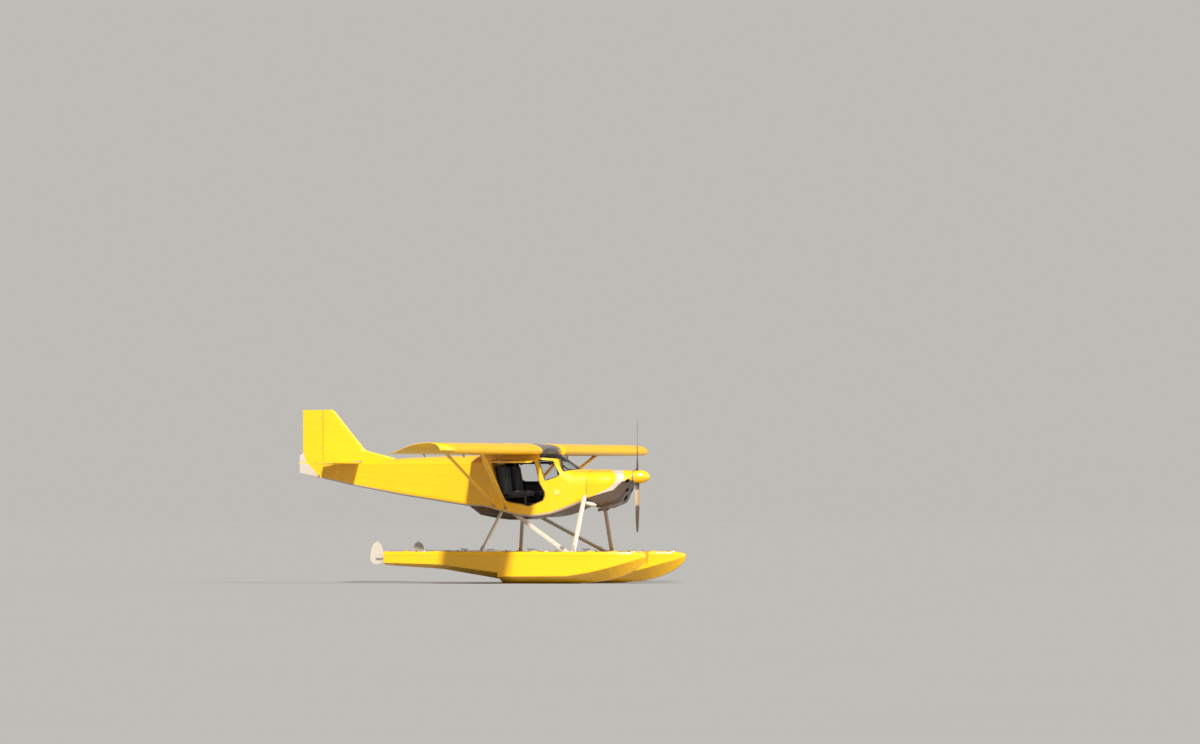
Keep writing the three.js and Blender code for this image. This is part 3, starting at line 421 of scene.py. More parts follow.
def rounded(outline, radius, steps=5):
    """A closed outline whose corners are turned into arcs."""
    out = []
    for i, p in enumerate(outline):
        p = Vector(p)
        before, after = Vector(outline[i - 1]), Vector(outline[(i + 1) % len(outline)])
        cut = min(radius, (before - p).length * 0.45, (after - p).length * 0.45)
        a = p + (before - p).normalized() * cut
        b = p + (after - p).normalized() * cut
        for k in range(steps + 1):
            t = k / steps
            q = a * (1 - t) ** 2 + p * (2 * t * (1 - t)) + b * t ** 2
            out.append(tuple(q))
    return out


# Finishes


class Finish:
    """A node material under construction."""

    def __init__(self, name, colour, roughness, metallic=0.0, coat=0.0, coat_roughness=0.05):
        self.material = bpy.data.materials.new(name)
        self.material.use_nodes = True
        self.tree = self.material.node_tree
        self.shader = self.tree.nodes["Principled BSDF"]
        self.place = self.add("ShaderNodeTexCoord").outputs["Object"]
        split = self.add("ShaderNodeSeparateXYZ", Vector=self.place)
        self.x, self.y, self.z = split.outputs
        self.set("Metallic", metallic)
        self.set("Roughness", roughness)
        self.set("Coat Weight", coat)
        self.set("Coat Roughness", coat_roughness)
        self.set("Base Color", (*colour, 1.0))
        self.bumps = []

    def add(self, kind, settings=None, **sockets):
        made = self.tree.nodes.new(kind)
        for key, value in (settings or {}).items():
            setattr(made, key, value)
        for key, value in sockets.items():
            self.join(value, made.inputs[key.replace("_", " ")])
        return made

    def join(self, value, socket):
        if isinstance(value, bpy.types.NodeSocket):
            self.tree.links.new(value, socket)
        else:
            socket.default_value = value

    def set(self, name, value):
        self.join(value, self.shader.inputs[name])

    def sum(self, operation, a, b=0.0):
        made = self.add("ShaderNodeMath", {"operation": operation})
        self.join(a, made.inputs[0])
        self.join(b, made.inputs[1])
        return made.outputs[0]

    def mix(self, factor, a, b):
        made = self.add("ShaderNodeMix", {"data_type": "RGBA"})
        self.join(factor, made.inputs[0])
        self.join(a, made.inputs[6])
        self.join(b, made.inputs[7])
        return made.outputs[2]

    def span(self, value, low, high, to_low=0.0, to_high=1.0):
        made = self.add("ShaderNodeMapRange", Value=value)
        for key, end in (("From Min", low), ("From Max", high), ("To Min", to_low), ("To Max", to_high)):
            made.inputs[key].default_value = end
        return made.outputs[0]

    def above(self, value, edge, width=0.0015):
        """1 where the value is over the edge and 0 where it is under, with a narrow ramp between them."""
        return self.span(self.sum("SUBTRACT", value, edge), -width, width)

    def curve(self, value, points):
        """A broken line through points: the first column goes in and the second comes out."""
        ins = [p[0] for p in points]
        outs = [p[1] for p in points]
        low, high, bottom, top = min(ins), max(ins), min(outs), max(outs)
        line = self.add("ShaderNodeFloatCurve", Value=self.span(value, low, high))
        curve = line.mapping.curves[0]
        marks = sorted(((u - low) / (high - low), (v - bottom) / (top - bottom)) for u, v in points)
        curve.points[0].location = marks[0]
        curve.points[1].location = marks[-1]
        for mark in marks[1:-1]:
            curve.points.new(*mark)
        for point in curve.points:
            point.handle_type = "VECTOR"
        line.mapping.update()
        return self.span(line.outputs[0], 0.0, 1.0, bottom, top)

    def noise(self, scale, detail=3.0, roughness=0.55, stretch=None):
        vector = self.place
        if stretch:
            mapped = self.add("ShaderNodeMapping", Vector=self.place)
            mapped.inputs["Scale"].default_value = stretch
            vector = mapped.outputs[0]
        made = self.add("ShaderNodeTexNoise", Vector=vector, Scale=scale, Detail=detail, Roughness=roughness)
        return made.outputs["Fac"]

    def tone(self, colour, factor, low, high):
        """The colour between two strengths of itself, by a factor."""
        as_colour = self.add("ShaderNodeMix", {"data_type": "RGBA", "blend_type": "MULTIPLY"})
        as_colour.inputs[0].default_value = 1.0
        self.join(colour, as_colour.inputs[6])
        self.join(self.mix(factor, (low, low, low, 1), (high, high, high, 1)), as_colour.inputs[7])
        return as_colour.outputs[2]

    def bump(self, height, distance, strength=1.0):
        made = self.add("ShaderNodeBump", Height=height, Distance=distance, Strength=strength)
        if self.bumps:
            self.join(self.bumps[-1], made.inputs["Normal"])
        self.bumps.append(made.outputs[0])
        self.set("Normal", made.outputs[0])

    def weave(self, pitch):
        """Height of a plain weave: two sets of threads at right angles."""
        threads = []
        for value in (self.x, self.sum("ADD", self.y, self.z)):
            threads.append(self.sum("SINE", self.sum("MULTIPLY", value, 2 * math.pi / pitch)))
        return self.sum("MULTIPLY", threads[0], threads[1])

    def done(self, colour, roughness=None):
        self.set("Base Color", colour)
        if roughness is not None:
            self.set("Roughness", roughness)
        return self.material


FINISHES = {}


def finish(name):
    if name not in FINISHES:
        FINISHES[name] = FINISH_MAKERS[name](bpy.context.scene.floatplane_paint)
    return FINISHES[name]


def aged(made, colour, depth=0.10):
    """Broad fading and fine dust over a painted colour."""
    broad = made.tone(colour, made.noise(1.7, 4.0), 1.0 - depth, 1.0 + depth * 0.35)
    return made.tone(broad, made.noise(34.0, 5.0, 0.65), 0.965, 1.02)


def gloss(made, low, high, scale=5.0):
    return made.span(made.noise(scale, 5.0, 0.6), 0.3, 0.7, low, high)


def hull_colours(made, paint):
    """Yellow above, a white stripe along the lower edge and silver under it."""
    yellow, white, silver = [(*c, 1.0) for c in (paint.yellow, paint.white, paint.silver)]
    lower = made.mix(made.above(made.z, made.curve(made.x, SILVER_UPPER_EDGE)), silver, white)
    return made.mix(made.above(made.z, made.curve(made.x, YELLOW_LOWER_EDGE)), lower, yellow)


def covering(name, paint):
    return Finish(name, paint.yellow, 0.3, coat=0.25, coat_roughness=0.2)


def woven(made, colour):
    """Ends a covering's finish with its weave, age and gloss."""
    made.bump(made.weave(COVER_WEAVE), 0.0002, 0.25)
    return made.done(aged(made, colour), gloss(made, 0.26, 0.42))


def hull_covering(paint):
    made = covering("hull_covering", paint)
    made.bump(made.noise(3.1, 2.0, 0.4, (1.0, 3.0, 3.0)), 0.004, 0.25)
    return woven(made, hull_colours(made, paint))


def wing_covering(paint):
    made = covering("wing_covering", paint)
    pitch = bpy.context.scene.floatplane_fittings.rib_pitch
    turns = made.sum("MULTIPLY", made.sum("ADD", made.sum("ABSOLUTE", made.y), -FLAP_SPAN[0]), math.pi / pitch)
    sag = made.sum("ABSOLUTE", made.sum("SINE", turns))
    made.bump(made.sum("SUBTRACT", 1.0, sag), 0.006, 0.5)
    return woven(made, (*paint.yellow, 1.0))


def roof_covering(paint):
    """Yellow, with a smoked pane over the seats that carries on from the windscreen."""
    made = Finish("roof_covering", paint.yellow, 0.3, coat=0.6, coat_roughness=0.08)
    ahead = made.above(made.x, ROOF_PANE[0])
    within = made.above(ROOF_PANE[1], made.sum("ABSOLUTE", made.y))
    pane = made.sum("MULTIPLY", ahead, within)
    smoke = made.tone((0.16, 0.135, 0.125, 1.0), made.noise(3.0, 4.0), 0.85, 1.15)
    colour = made.mix(pane, aged(made, (*paint.yellow, 1.0)), smoke)
    made.bump(made.noise(4.0, 2.0, 0.4), 0.002, 0.15)
    cloth = gloss(made, 0.26, 0.42)
    return made.done(colour, made.sum("MULTIPLY", cloth, made.span(pane, 0.0, 1.0, 1.0, 0.35)))


def nose_moulding(paint):
    """Yellow sides, a white band round the nose and a yellow cap behind the spinner."""
    made = Finish("nose_moulding", paint.yellow, 0.25, coat=0.4, coat_roughness=0.12)
    yellow, white = (*paint.yellow, 1.0), (*paint.white, 1.0)
    behind = made.above(made.curve(made.z, YELLOW_FRONT_EDGE), made.x)
    ahead = made.above(made.x, made.curve(made.z, CAP_REAR_EDGE))
    colour = made.mix(made.sum("MAXIMUM", behind, ahead), white, yellow)
    made.bump(made.noise(6.0, 2.0, 0.4), 0.002, 0.2)
    return made.done(aged(made, colour, 0.06), gloss(made, 0.16, 0.28))


def yellow_moulding(paint):
    made = Finish("yellow_moulding", paint.yellow, 0.25, coat=0.4, coat_roughness=0.12)
    made.bump(made.noise(5.0, 2.0, 0.4), 0.003, 0.2)
    colour = aged(made, (*paint.yellow, 1.0), 0.07)
    # Painted shade: the colour gets slightly darker towards the bottom, below 0.22 m above the keel.
    low = made.span(made.z, 0.0, 0.22, 0.93, 1.0)
    painted_shade_bottom = made.tone(colour, low, 0.80, 1.0)
    return made.done(painted_shade_bottom, gloss(made, 0.15, 0.30))


def rudder_covering(paint):
    made = covering("rudder_covering", paint)
    yellow, white = (*paint.yellow, 1.0), (*paint.white, 1.0)
    colour = made.mix(made.above(made.x, made.curve(made.z, RUDDER_WHITE_EDGE)), white, yellow)
    return woven(made, colour)


def silver_moulding(paint):
    made = Finish("silver_moulding", paint.silver, 0.4, metallic=0.35, coat=0.35, coat_roughness=0.2)
    flakes = made.noise(900.0, 1.0)
    colour = made.tone(aged(made, (*paint.silver, 1.0), 0.12), flakes, 0.9, 1.1)
    made.bump(made.noise(7.0, 3.0, 0.5), 0.002, 0.2)
    return made.done(colour, gloss(made, 0.30, 0.48))


def plain_enamel(name, colour, roughness=0.3, coat=0.4):
    made = Finish(name, colour, roughness, coat=coat, coat_roughness=0.15)
    made.bump(made.noise(60.0, 3.0, 0.5), 0.0004, 0.3)
    return made.done(aged(made, (*colour, 1.0), 0.08), gloss(made, roughness * 0.8, roughness * 1.3, 12.0))


def white_enamel(paint):
    return plain_enamel("white_enamel", paint.white)


def yellow_enamel(paint):
    return plain_enamel("yellow_enamel", paint.yellow)


def cap_enamel(paint):
    return plain_enamel("cap_enamel", (0.92, 0.60, 0.13))


def brushed_alloy(paint):
    made = Finish("brushed_alloy", (0.60, 0.60, 0.60), 0.32, metallic=1.0)
    grain = made.noise(40.0, 4.0, 0.6, (1.0, 12.0, 12.0))
    made.bump(grain, 0.0003, 0.3)
    colour = made.tone((0.60, 0.60, 0.60, 1.0), made.noise(9.0, 4.0), 0.82, 1.05)
    return made.done(colour, made.span(grain, 0.3, 0.7, 0.24, 0.44))


def dark_steel(paint):
    made = Finish("dark_steel", (0.09, 0.085, 0.08), 0.5, metallic=0.85)
    made.bump(made.noise(120.0, 4.0, 0.6), 0.0006, 0.4)
    colour = made.tone((0.10, 0.09, 0.08, 1.0), made.noise(12.0, 5.0), 0.7, 1.2)
    return made.done(colour, gloss(made, 0.38, 0.6, 14.0))


def exhaust_steel(paint):
    made = Finish("exhaust_steel", (0.33, 0.27, 0.22), 0.45, metallic=0.9)
    heat = made.mix(made.noise(7.0, 4.0), (0.36, 0.27, 0.19, 1), (0.25, 0.24, 0.27, 1))
    made.bump(made.noise(150.0, 4.0), 0.0004, 0.3)
    return made.done(made.tone(heat, made.noise(40.0, 4.0), 0.75, 1.1), gloss(made, 0.35, 0.6, 14.0))


def cabin_trim(paint):
    made = Finish("cabin_trim", paint.trim, 0.75)
    made.bump(made.noise(700.0, 2.0, 0.5), 0.0005, 0.5)
    colour = made.tone((*paint.trim, 1.0), made.noise(18.0, 4.0), 0.75, 1.35)
    return made.done(colour, gloss(made, 0.62, 0.85, 30.0))


def black_rubber(paint):
    made = Finish("black_rubber", paint.trim, 0.6)
    made.bump(made.noise(300.0, 3.0, 0.5), 0.0004, 0.4)
    colour = made.tone((0.018, 0.018, 0.019, 1.0), made.noise(25.0, 4.0), 0.8, 1.5)
    return made.done(colour, gloss(made, 0.5, 0.72, 20.0))


def propeller_wood(paint):
    """Glued laminations across the blade's thickness, under lacquer, with a painted highlight on the lower
    blade.
    """
    made = Finish("propeller_wood", paint.wood, 0.3, coat=0.9, coat_roughness=0.06)
    layers = made.sum("SINE", made.sum("MULTIPLY", made.x, 2 * math.pi / 0.012))
    grain = made.noise(20.0, 6.0, 0.6, (14.0, 14.0, 1.2))
    light = tuple(min(1.0, c * 1.7) for c in paint.wood)
    colour = made.mix(made.span(layers, -0.5, 0.5), (*paint.wood, 1.0), (*light, 1.0))
    # Painted highlight: a light tan stretch from 0.205 to 0.460 m below the hub, on the lower blade only, where
    # sunlight falls on its twisted face.
    reach = made.sum("SUBTRACT", THRUST_Z, made.z)
    painted_highlight = made.sum("MULTIPLY", made.above(reach, 0.205, 0.012), made.above(0.460, reach, 0.020))
    colour = made.mix(painted_highlight, colour, (0.46, 0.30, 0.15, 1.0))
    colour = made.tone(colour, grain, 0.65, 1.2)
    made.bump(grain, 0.0003, 0.2)
    return made.done(colour, made.span(grain, 0.3, 0.7, 0.22, 0.36))


def seat_cloth(paint):
    made = Finish("seat_cloth", paint.cloth, 0.9)
    made.set("Sheen Weight", 0.35)
    made.set("Sheen Roughness", 0.5)
    made.bump(made.weave(SEAT_WEAVE), 0.0006, 0.6)
    made.bump(made.noise(60.0, 3.0), 0.001, 0.25)
    colour = made.tone((*paint.cloth, 1.0), made.weave(SEAT_WEAVE), 0.8, 1.15)
    return made.done(made.tone(colour, made.noise(14.0, 4.0), 0.85, 1.15), gloss(made, 0.8, 0.95, 20.0))


def belt_webbing(paint):
    made = Finish("belt_webbing", (0.06, 0.06, 0.065), 0.85)
    ribs = made.sum("SINE", made.sum("MULTIPLY", made.y, 2 * math.pi / 0.006))
    made.bump(ribs, 0.0006, 0.6)
    return made.done(made.tone((0.06, 0.06, 0.065, 1.0), made.noise(90.0, 3.0), 0.7, 1.2))


def clear_glazing(paint):
    """Thin acrylic with a faint smoke tint."""
    made = Finish("clear_glazing", (0.86, 0.88, 0.88), 0.02)
    made.set("Transmission Weight", 1.0)
    made.set("IOR", 1.2)
    haze = made.span(made.noise(3.0, 4.0), 0.35, 0.75, 0.01, 0.05)
    tint = made.mix(made.noise(2.0, 2.0), (0.84, 0.87, 0.88, 1.0), (0.92, 0.93, 0.93, 1.0))
    return made.done(tint, haze)


def gauge_face(paint):
    made = Finish("gauge_face", (0.01, 0.01, 0.011), 0.3, coat=0.8)
    return made.done(made.tone((0.012, 0.012, 0.014, 1.0), made.noise(40.0, 2.0), 0.8, 1.3))


def gauge_mark(paint):
    made = Finish("gauge_mark", (0.8, 0.8, 0.76), 0.5)
    return made.done(made.tone((0.8, 0.8, 0.76, 1.0), made.noise(80.0, 2.0), 0.9, 1.0))


def white_lens(paint):
    colour = (0.8, 0.8, 0.78)
    made = Finish("white_lens", colour, 0.08, coat=1.0, coat_roughness=0.02)
    made.set("Transmission Weight", 0.5)
    ribs = made.sum("SINE", made.sum("MULTIPLY", made.x, 2 * math.pi / 0.006))
    made.bump(ribs, 0.0006, 0.4)
    return made.done(made.tone((*colour, 1.0), made.noise(30.0, 2.0), 0.85, 1.05))


def grit_pad(paint):
    made = Finish("grit_pad", (0.05, 0.05, 0.05), 0.95)
    made.bump(made.noise(1200.0, 2.0, 0.7), 0.001, 0.8)
    return made.done(made.tone((0.055, 0.053, 0.05, 1.0), made.noise(500.0, 3.0), 0.5, 1.5))


FINISH_MAKERS = {
    made.__name__: made
    for made in (
        hull_covering, wing_covering, roof_covering, rudder_covering, nose_moulding, yellow_moulding,
        silver_moulding, white_enamel, yellow_enamel, cap_enamel, brushed_alloy, dark_steel, exhaust_steel,
        cabin_trim, black_rubber, propeller_wood, seat_cloth, belt_webbing, clear_glazing, gauge_face,
        gauge_mark, white_lens, grit_pad,
    )
}

LOOK_SLOTS = {
    "hull_covering": "covering", "wing_covering": "covering", "rudder_covering": "covering",
    "yellow_enamel": "moulding_yellow", "cap_enamel": "moulding_yellow", "silver_moulding": "moulding_silver",
    "white_enamel": "strut_white", "gauge_mark": "strut_white", "brushed_alloy": "alloy",
    "dark_steel": "engine", "exhaust_steel": "engine", "white_lens": "window", "propeller_wood": "blade",
    "black_rubber": "cabin_trim", "cabin_trim": "cabin_trim", "gauge_face": "cabin_trim",
    "grit_pad": "cabin_trim", "seat_cloth": "seat_cloth", "belt_webbing": "seat_cloth",
}


def both(*names):
    """The names of pieces that are there on both sides."""
    return [f"{name}_{side}" for name in names for side in SIDES]


NODE_FINISHES = {
    "hull_covering": ["tail_cone"],
    "wing_covering": [*both("wing", "flap", "aileron"), "fin", "tailplane", "elevator"],
    "roof_covering": ["roof_centre_section"],
    "nose_moulding": ["cowl_upper"],
    "silver_moulding": ["cowl_lower", "belly_fairing"],
    "rudder_covering": ["rudder"],
    "yellow_moulding": [*both("float"), "spinner"],
    "yellow_enamel": both("lift_strut_front", "lift_strut_rear"),
    "white_enamel": both("float_strut_front", "float_strut_diagonal", "float_strut_rear", "water_rudder"),
    "brushed_alloy": ["spreader_bar_front", "spreader_bar_rear", *both("water_rudder_post")],
    "dark_steel": ["engine_block", "seat_frame"],
    "cabin_trim": ["cabin_floor", "instrument_panel", "control_stick"],
    "clear_glazing": ["windscreen", *both("quarter_window", "door_window")],
    "propeller_wood": ["propeller"],
    "seat_cloth": both("seat_cushion", "seat_back"),
}


def even_shading(thing):
    """Smooth shading in which large faces count for more than small ones."""
    smooth(thing.data, SHARP_EDGE)
    even = thing.modifiers.new("Even shading", "WEIGHTED_NORMAL")
    even.keep_sharp = True


def coat_node(name, *finishes):
    """Gives a CAD node its finishes and smooth shading, in which large faces count for more than small ones."""
    thing = NODES[name]
    stored = thing.data.attributes.get("custom_normal")
    if stored:
        thing.data.attributes.remove(stored)
    thing.data.materials.clear()
    for each in finishes:
        thing.data.materials.append(finish(each))
    even_shading(thing)


def line_inside(name, middle, pane):
    """Gives the faces that look inwards or lie behind a pane the second finish."""
    mesh = NODES[name].data
    glass = skin(pane).tree
    for face in mesh.polygons:
        out = face.center - Vector(middle)
        out.x = 0
        inward = face.normal.dot(out.normalized()) < -0.15
        behind = glass.ray_cast(face.center + face.normal * 0.0002, face.normal, 1.3)[0]
        face.material_index = 1 if inward or behind else 0


def cover_wing(side, sign):
    """A covering in place of the wing's node. Its end is filled again, so that no faces fold over themselves."""
    name = f"wing_{side}"
    work = bmesh.new()
    work.from_mesh(NODES[name].data)
    bmesh.ops.remove_doubles(work, verts=work.verts, dist=1e-5)
    end = [face for face in work.faces if all(abs(v.co.y) > TIP_END - 0.0005 for v in face.verts)]
    bmesh.ops.delete(work, geom=end, context="FACES")
    rim = [edge for edge in work.edges if edge.is_boundary]
    bmesh.ops.triangle_fill(work, edges=rim, use_beauty=True, use_dissolve=False, normal=(0, sign, 0))
    bmesh.ops.recalc_face_normals(work, faces=work.faces)
    faces = [[v.index for v in face.verts] for face in work.faces]
    shape = Shape().add([v.co.copy() for v in work.verts], faces)
    work.free()
    piece = make_piece(f"{name}_covering", shape, "wing_covering")
    even_shading(piece)
    for face in piece.data.polygons:
        face.use_smooth = abs(face.center.y) < TIP_END - 0.002
    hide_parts(name)


def door_turn(side):
    """The turn that takes a closed door to where it stands: the starboard one is open."""
    if side == "port":
        return Matrix.Identity(4)
    y, z = DOOR_HINGE
    hinge = Matrix.Translation((0, -y, z))
    return hinge @ Matrix.Rotation(-math.radians(DOOR_OPEN), 4, "X") @ hinge.inverted()


class FLOATPLANE_OT_finishes(bpy.types.Operator):
    """Paint and material of every node of the frame"""

    bl_idname = "floatplane.finishes"
    bl_label = "Paint the frame"

    def execute(self, context):
        for made, names in NODE_FINISHES.items():
            for name in names:
                coat_node(name, made)
        coat_node("cabin_shell", "hull_covering", "cabin_trim")
        line_inside("cabin_shell", (0, 0, 1.6), "windscreen")
        for side, sign in SIDES.items():
            coat_node(f"door_{side}", "hull_covering", "cabin_trim")
            inward = door_turn(side).to_3x3() @ Vector((0, -sign, 0))
            for face in NODES[f"door_{side}"].data.polygons:
                face.material_index = 1 if face.normal.dot(inward) > 0.9 else 0
            cover_wing(side, sign)
        return {"FINISHED"}


# Pieces


def screw_row(points, normals, pitch):
    """Places for screws, evenly spread along a row of points."""
    places = []
    travelled = 0.0
    for a, b, normal in zip(points, points[1:], normals):
        length = (b - a).length
        while travelled <= length and length > 0:
            places.append((a.lerp(b, travelled / length), normal))
            travelled += pitch
        travelled -= length
    return places


def clevis(shape, place, along, across, reach, half, apart):
    """Two plates and a bolt at the end of a strut."""
    thick = 0.005
    end = apart + 0.012
    along = Vector(along).normalized()
    across = (Vector(across) - along * along.dot(Vector(across))).normalized()
    side = along.cross(across)
    outline = [(-reach, -half), (reach * 0.4, -half), (reach, -half * 0.5), (reach, half * 0.5),
               (reach * 0.4, half), (-reach, half)]
    place = Vector(place)
    for sign in (1, -1):
        shape.rings([
            [place + along * u + side * v + across * (sign * apart + lift) for u, v in outline]
            for lift in (-thick / 2, thick / 2)
        ])
    shape.rod(place - across * end, place + across * end, 0.007, 8)
    for sign in (1, -1):
        shape.lathe(place, across * sign, [(0.012, apart + thick / 2), (0.012, apart + 0.011), (0, end)], 6)


def plate(shape, place, normal, along, size, thick=0.004):
    """A small plate with cut corners, lying on a surface."""
    normal = Vector(normal).normalized()
    along = (Vector(along) - normal * normal.dot(Vector(along))).normalized()
    side = normal.cross(along)
    a, b = size[0] / 2, size[1] / 2
    cut = min(a, b) * 0.35
    outline = [(-a, -b + cut), (-a + cut, -b), (a - cut, -b), (a, -b + cut), (a, b - cut), (a - cut, b),
               (-a + cut, b), (-a, b - cut)]
    place = Vector(place)
    shape.rings([
        [place + along * (u * part) + side * (v * part) + normal * lift for u, v in outline]
        for lift, part in ((-thick, 1), (thick * 0.6, 1), (thick, 0.94))
    ])


class FLOATPLANE_OT_glazing(bpy.types.Operator):
    """Seals and screws round the cabin's fixed windows"""

    bl_idname = "floatplane.glazing"
    bl_label = "Window seals"

    def execute(self, context):
        for side, sign in SIDES.items():
            surface = skin("cabin_shell", f"quarter_window_{side}")
            path = spaced(rounded(inset(QUARTER_WINDOW, -0.005), 0.03), 0.02, True)
            seal = Shape().strip(*surface.side(path, sign), 0.012, 0.0025, closed=True)
            make_piece(f"quarter_seal_{side}", seal, "black_rubber")
            outer = spaced(rounded(inset(QUARTER_WINDOW, -0.018), 0.03), 0.02, True)
            screws = Shape().heads(screw_row(*surface.side(outer, sign), 0.065), 0.0045, 0.0015)
            make_piece(f"quarter_screws_{side}", screws, "brushed_alloy")
        self.windscreen()
        return {"FINISHED"}

    def windscreen(self):
        surface = skin("cabin_shell", "windscreen")
        path = [(x - 0.003, z - 0.004) for x, z in spaced(WINDSCREEN_EDGE, 0.02)]
        points, normals = surface.side(path, 1)
        middle, upward = surface.meet((1.712, 0, OVERHEAD), DOWN)
        points = points + [middle] + [Vector((p.x, -p.y, p.z)) for p in reversed(points)]
        normals = normals + [upward] + [Vector((n.x, -n.y, n.z)) for n in reversed(normals)]
        seal = Shape().strip(points, normals, 0.016, 0.003)
        make_piece("windscreen_seal", seal, "black_rubber")
        out = [p + n.cross((b - a).normalized()) * 0.018 for p, n, a, b in zip(
            points[1:], normals[1:], points, points[2:])]
        screws = Shape().heads(screw_row(out, normals[1:], 0.07), 0.0045, 0.002)
        make_piece("windscreen_screws", screws, "brushed_alloy")
        top = Shape().strip(*surface.above([(1.205, 0.455 * k / 24) for k in range(-24, 25)]), 0.010, 0.0015)
        x, y = ROOF_PANE
        path = spaced([(1.175, -y), (x, -y), (x, y), (1.175, y)], 0.02)
        top.strip(*skin("roof_centre_section").above(path), 0.014, 0.002)
        make_piece("windscreen_top_seal", top, "black_rubber")


def hull_height(table, x):
    """Height in a table of x and z at an x."""
    for (x0, z0), (x1, z1) in zip(table, table[1:]):
        if x0 <= x <= x1:
            return z0 + (z1 - z0) * (x - x0) / (x1 - x0)
    raise ValueError(f"{x} is outside the table")


class FLOATPLANE_OT_hull(bpy.types.Operator):
    """Tapes, inspection rings and side caps of the fuselage"""

    bl_idname = "floatplane.hull"
    bl_label = "Fuselage details"

    def execute(self, context):
        surface = skin("tail_cone", "cabin_shell")
        tapes = Shape()
        for sign in SIDES.values():
            for part in (0.06, 0.37, 0.68, 0.97):
                path = [(x, self.level(x, part)) for x in (-2.62 + 0.1 * k for k in range(29))]
                tapes.strip(*surface.side(path, sign), 0.026, 0.0016)
            for x in (-2.05, -1.62, -1.20, -0.76, -0.33, 0.10):
                path = [(x, self.level(x, 0.04 + 0.92 * k / 12)) for k in range(13)]
                tapes.strip(*surface.side(path, sign), 0.030, 0.0012)
        for y in (-0.28, 0.0, 0.28):
            path = [(x, y * (x + 2.9) / 3.1) for x in (-1.35 + 0.1 * k for k in range(15))]
            tapes.strip(*surface.above(path), 0.026, 0.0016)
        make_piece("fuselage_tapes", tapes, "hull_covering")
        rings = Shape()
        for sign in SIDES.values():
            for x, z in ((-2.30, 1.74), (-1.45, 1.66), (-0.20, 1.50)):
                place, normal = surface.meet((x, sign * OUTSIDE, z), (0, -sign, 0))
                rings.lathe(place, normal, [(0.048, -0.001), (0.048, 0.0018), (0.042, 0.0026), (0, 0.0026)], 24)
        make_piece("inspection_rings", rings, "yellow_enamel")
        self.nose_side(surface)
        return {"FINISHED"}

    def level(self, x, part):
        low = hull_height(YELLOW_LOWER_EDGE, x) + 0.03
        high = 1.915 + 0.012 * (x + 2.7)
        return low + (high - low) * part

    def nose_side(self, surface):
        caps = Shape()
        for sign in SIDES.values():
            place, normal = surface.meet((1.48, sign * OUTSIDE, 1.46), (0, -sign, 0))
            caps.lathe(place, normal, [
                (0.048, -0.002), (0.048, 0.004), (0.044, 0.008), (0.030, 0.009), (0.028, 0.006),
                (0, 0.006)], 32)
        make_piece("nose_caps", caps, "cap_enamel")


class FLOATPLANE_OT_cowl(bpy.types.Operator):
    """Seams, fasteners, air intakes, exhaust and oil door of the cowl"""

    bl_idname = "floatplane.cowl"
    bl_label = "Cowl details"

    def execute(self, context):
        surface = skin("cowl_upper", "cowl_lower", "cabin_shell")
        self.seams(surface)
        self.intakes()
        self.oil_door(surface)
        self.exhaust()
        return {"FINISHED"}

    def seams(self, surface):
        lips = Shape()
        screws = Shape()
        for sign in SIDES.values():
            path = [(x, z - 0.003) for x, z in spaced(COWL_SPLIT, 0.03) if x < 2.50]
            lips.strip(*surface.side(path, sign), 0.005, 0.0012)
            above, above_normals = surface.side([(x - 0.006, z + 0.021) for x, z in path], sign)
            screws.heads(screw_row(above, above_normals, 0.095), 0.008, 0.0022)
            ring = [(FIREWALL + 0.003, z) for z in (1.40 + 0.02 * k for k in range(18))]
            lips.strip(*surface.side(ring, sign), 0.006, 0.0012)
            ring = [(x + 0.020, z) for x, z in ring]
            screws.heads(screw_row(*surface.side(ring, sign), 0.09), 0.008, 0.0022)
        path = [(FIREWALL + 0.003, 0.028 * k) for k in range(-12, 13)]
        lips.strip(*surface.above(path), 0.006, 0.0012)
        make_piece("cowl_seams", lips, "black_rubber")
        make_piece("cowl_fasteners", screws, "brushed_alloy")

    def intakes(self):
        surface = skin("cowl_lower", "cowl_upper")
        lips = Shape()
        for y, z, radius in INTAKES:
            path = []
            for k in range(28):
                turn = 2 * math.pi * k / 28
                start = (3.0, y + (radius + 0.004) * math.cos(turn), z + (radius + 0.004) * math.sin(turn))
                path.append(surface.meet(start, (-1, 0, 0))[0])
            lips.tube(path, 0.004, 8, closed=True)
        make_piece("intake_lips", lips, "silver_moulding")
        screen = Shape()
        for y, z, radius in INTAKES[:3]:
            for k in range(-3, 4):
                offset = radius * k / 3.6
                half = math.sqrt(radius ** 2 - offset ** 2)
                screen.rod((2.33, y + offset, z - half), (2.33, y + offset, z + half), 0.0012, 5)
                screen.rod((2.332, y - half, z + offset), (2.332, y + half, z + offset), 0.0012, 5)
        make_piece("intake_screens", screen, "dark_steel")

    def oil_door(self, surface):
        outline = rounded([(2.12, 0.10), (2.30, 0.10), (2.30, 0.24), (2.12, 0.24)], 0.02)
        rim = Shape().strip(*surface.above(spaced(outline, 0.02, True)), 0.004, 0.0012, closed=True)
        make_piece("oil_door_rim", rim, "black_rubber")
        latch = Shape()
        for x, y in ((2.21, 0.225), (2.14, 0.12), (2.28, 0.12)):
            place, normal = surface.meet((x, y, OVERHEAD), DOWN)
            latch.lathe(place, normal, [(0.010, -0.001), (0.010, 0.002), (0.007, 0.003), (0, 0.003)], 16)
        make_piece("oil_door_latch", latch, "brushed_alloy")

    def exhaust(self):
        pipes = Shape()
        for sign in SIDES.values():
            y = sign * 0.11
            pipes.tube([(2.22, y, 1.36), (2.20, y, 1.28), (2.17, y, 1.22), (2.12, y, 1.185), (2.05, y, 1.175)],
                       0.021, 18)
            pipes.lathe((2.052, y, 1.1755), (-1, 0, -0.14), [
                (0.0235, -0.012), (0.0235, 0.0), (0.0195, 0.0005), (0.018, -0.03), (0, -0.03)], 20)
        make_piece("exhaust_pipes", pipes, "exhaust_steel", angle=60)


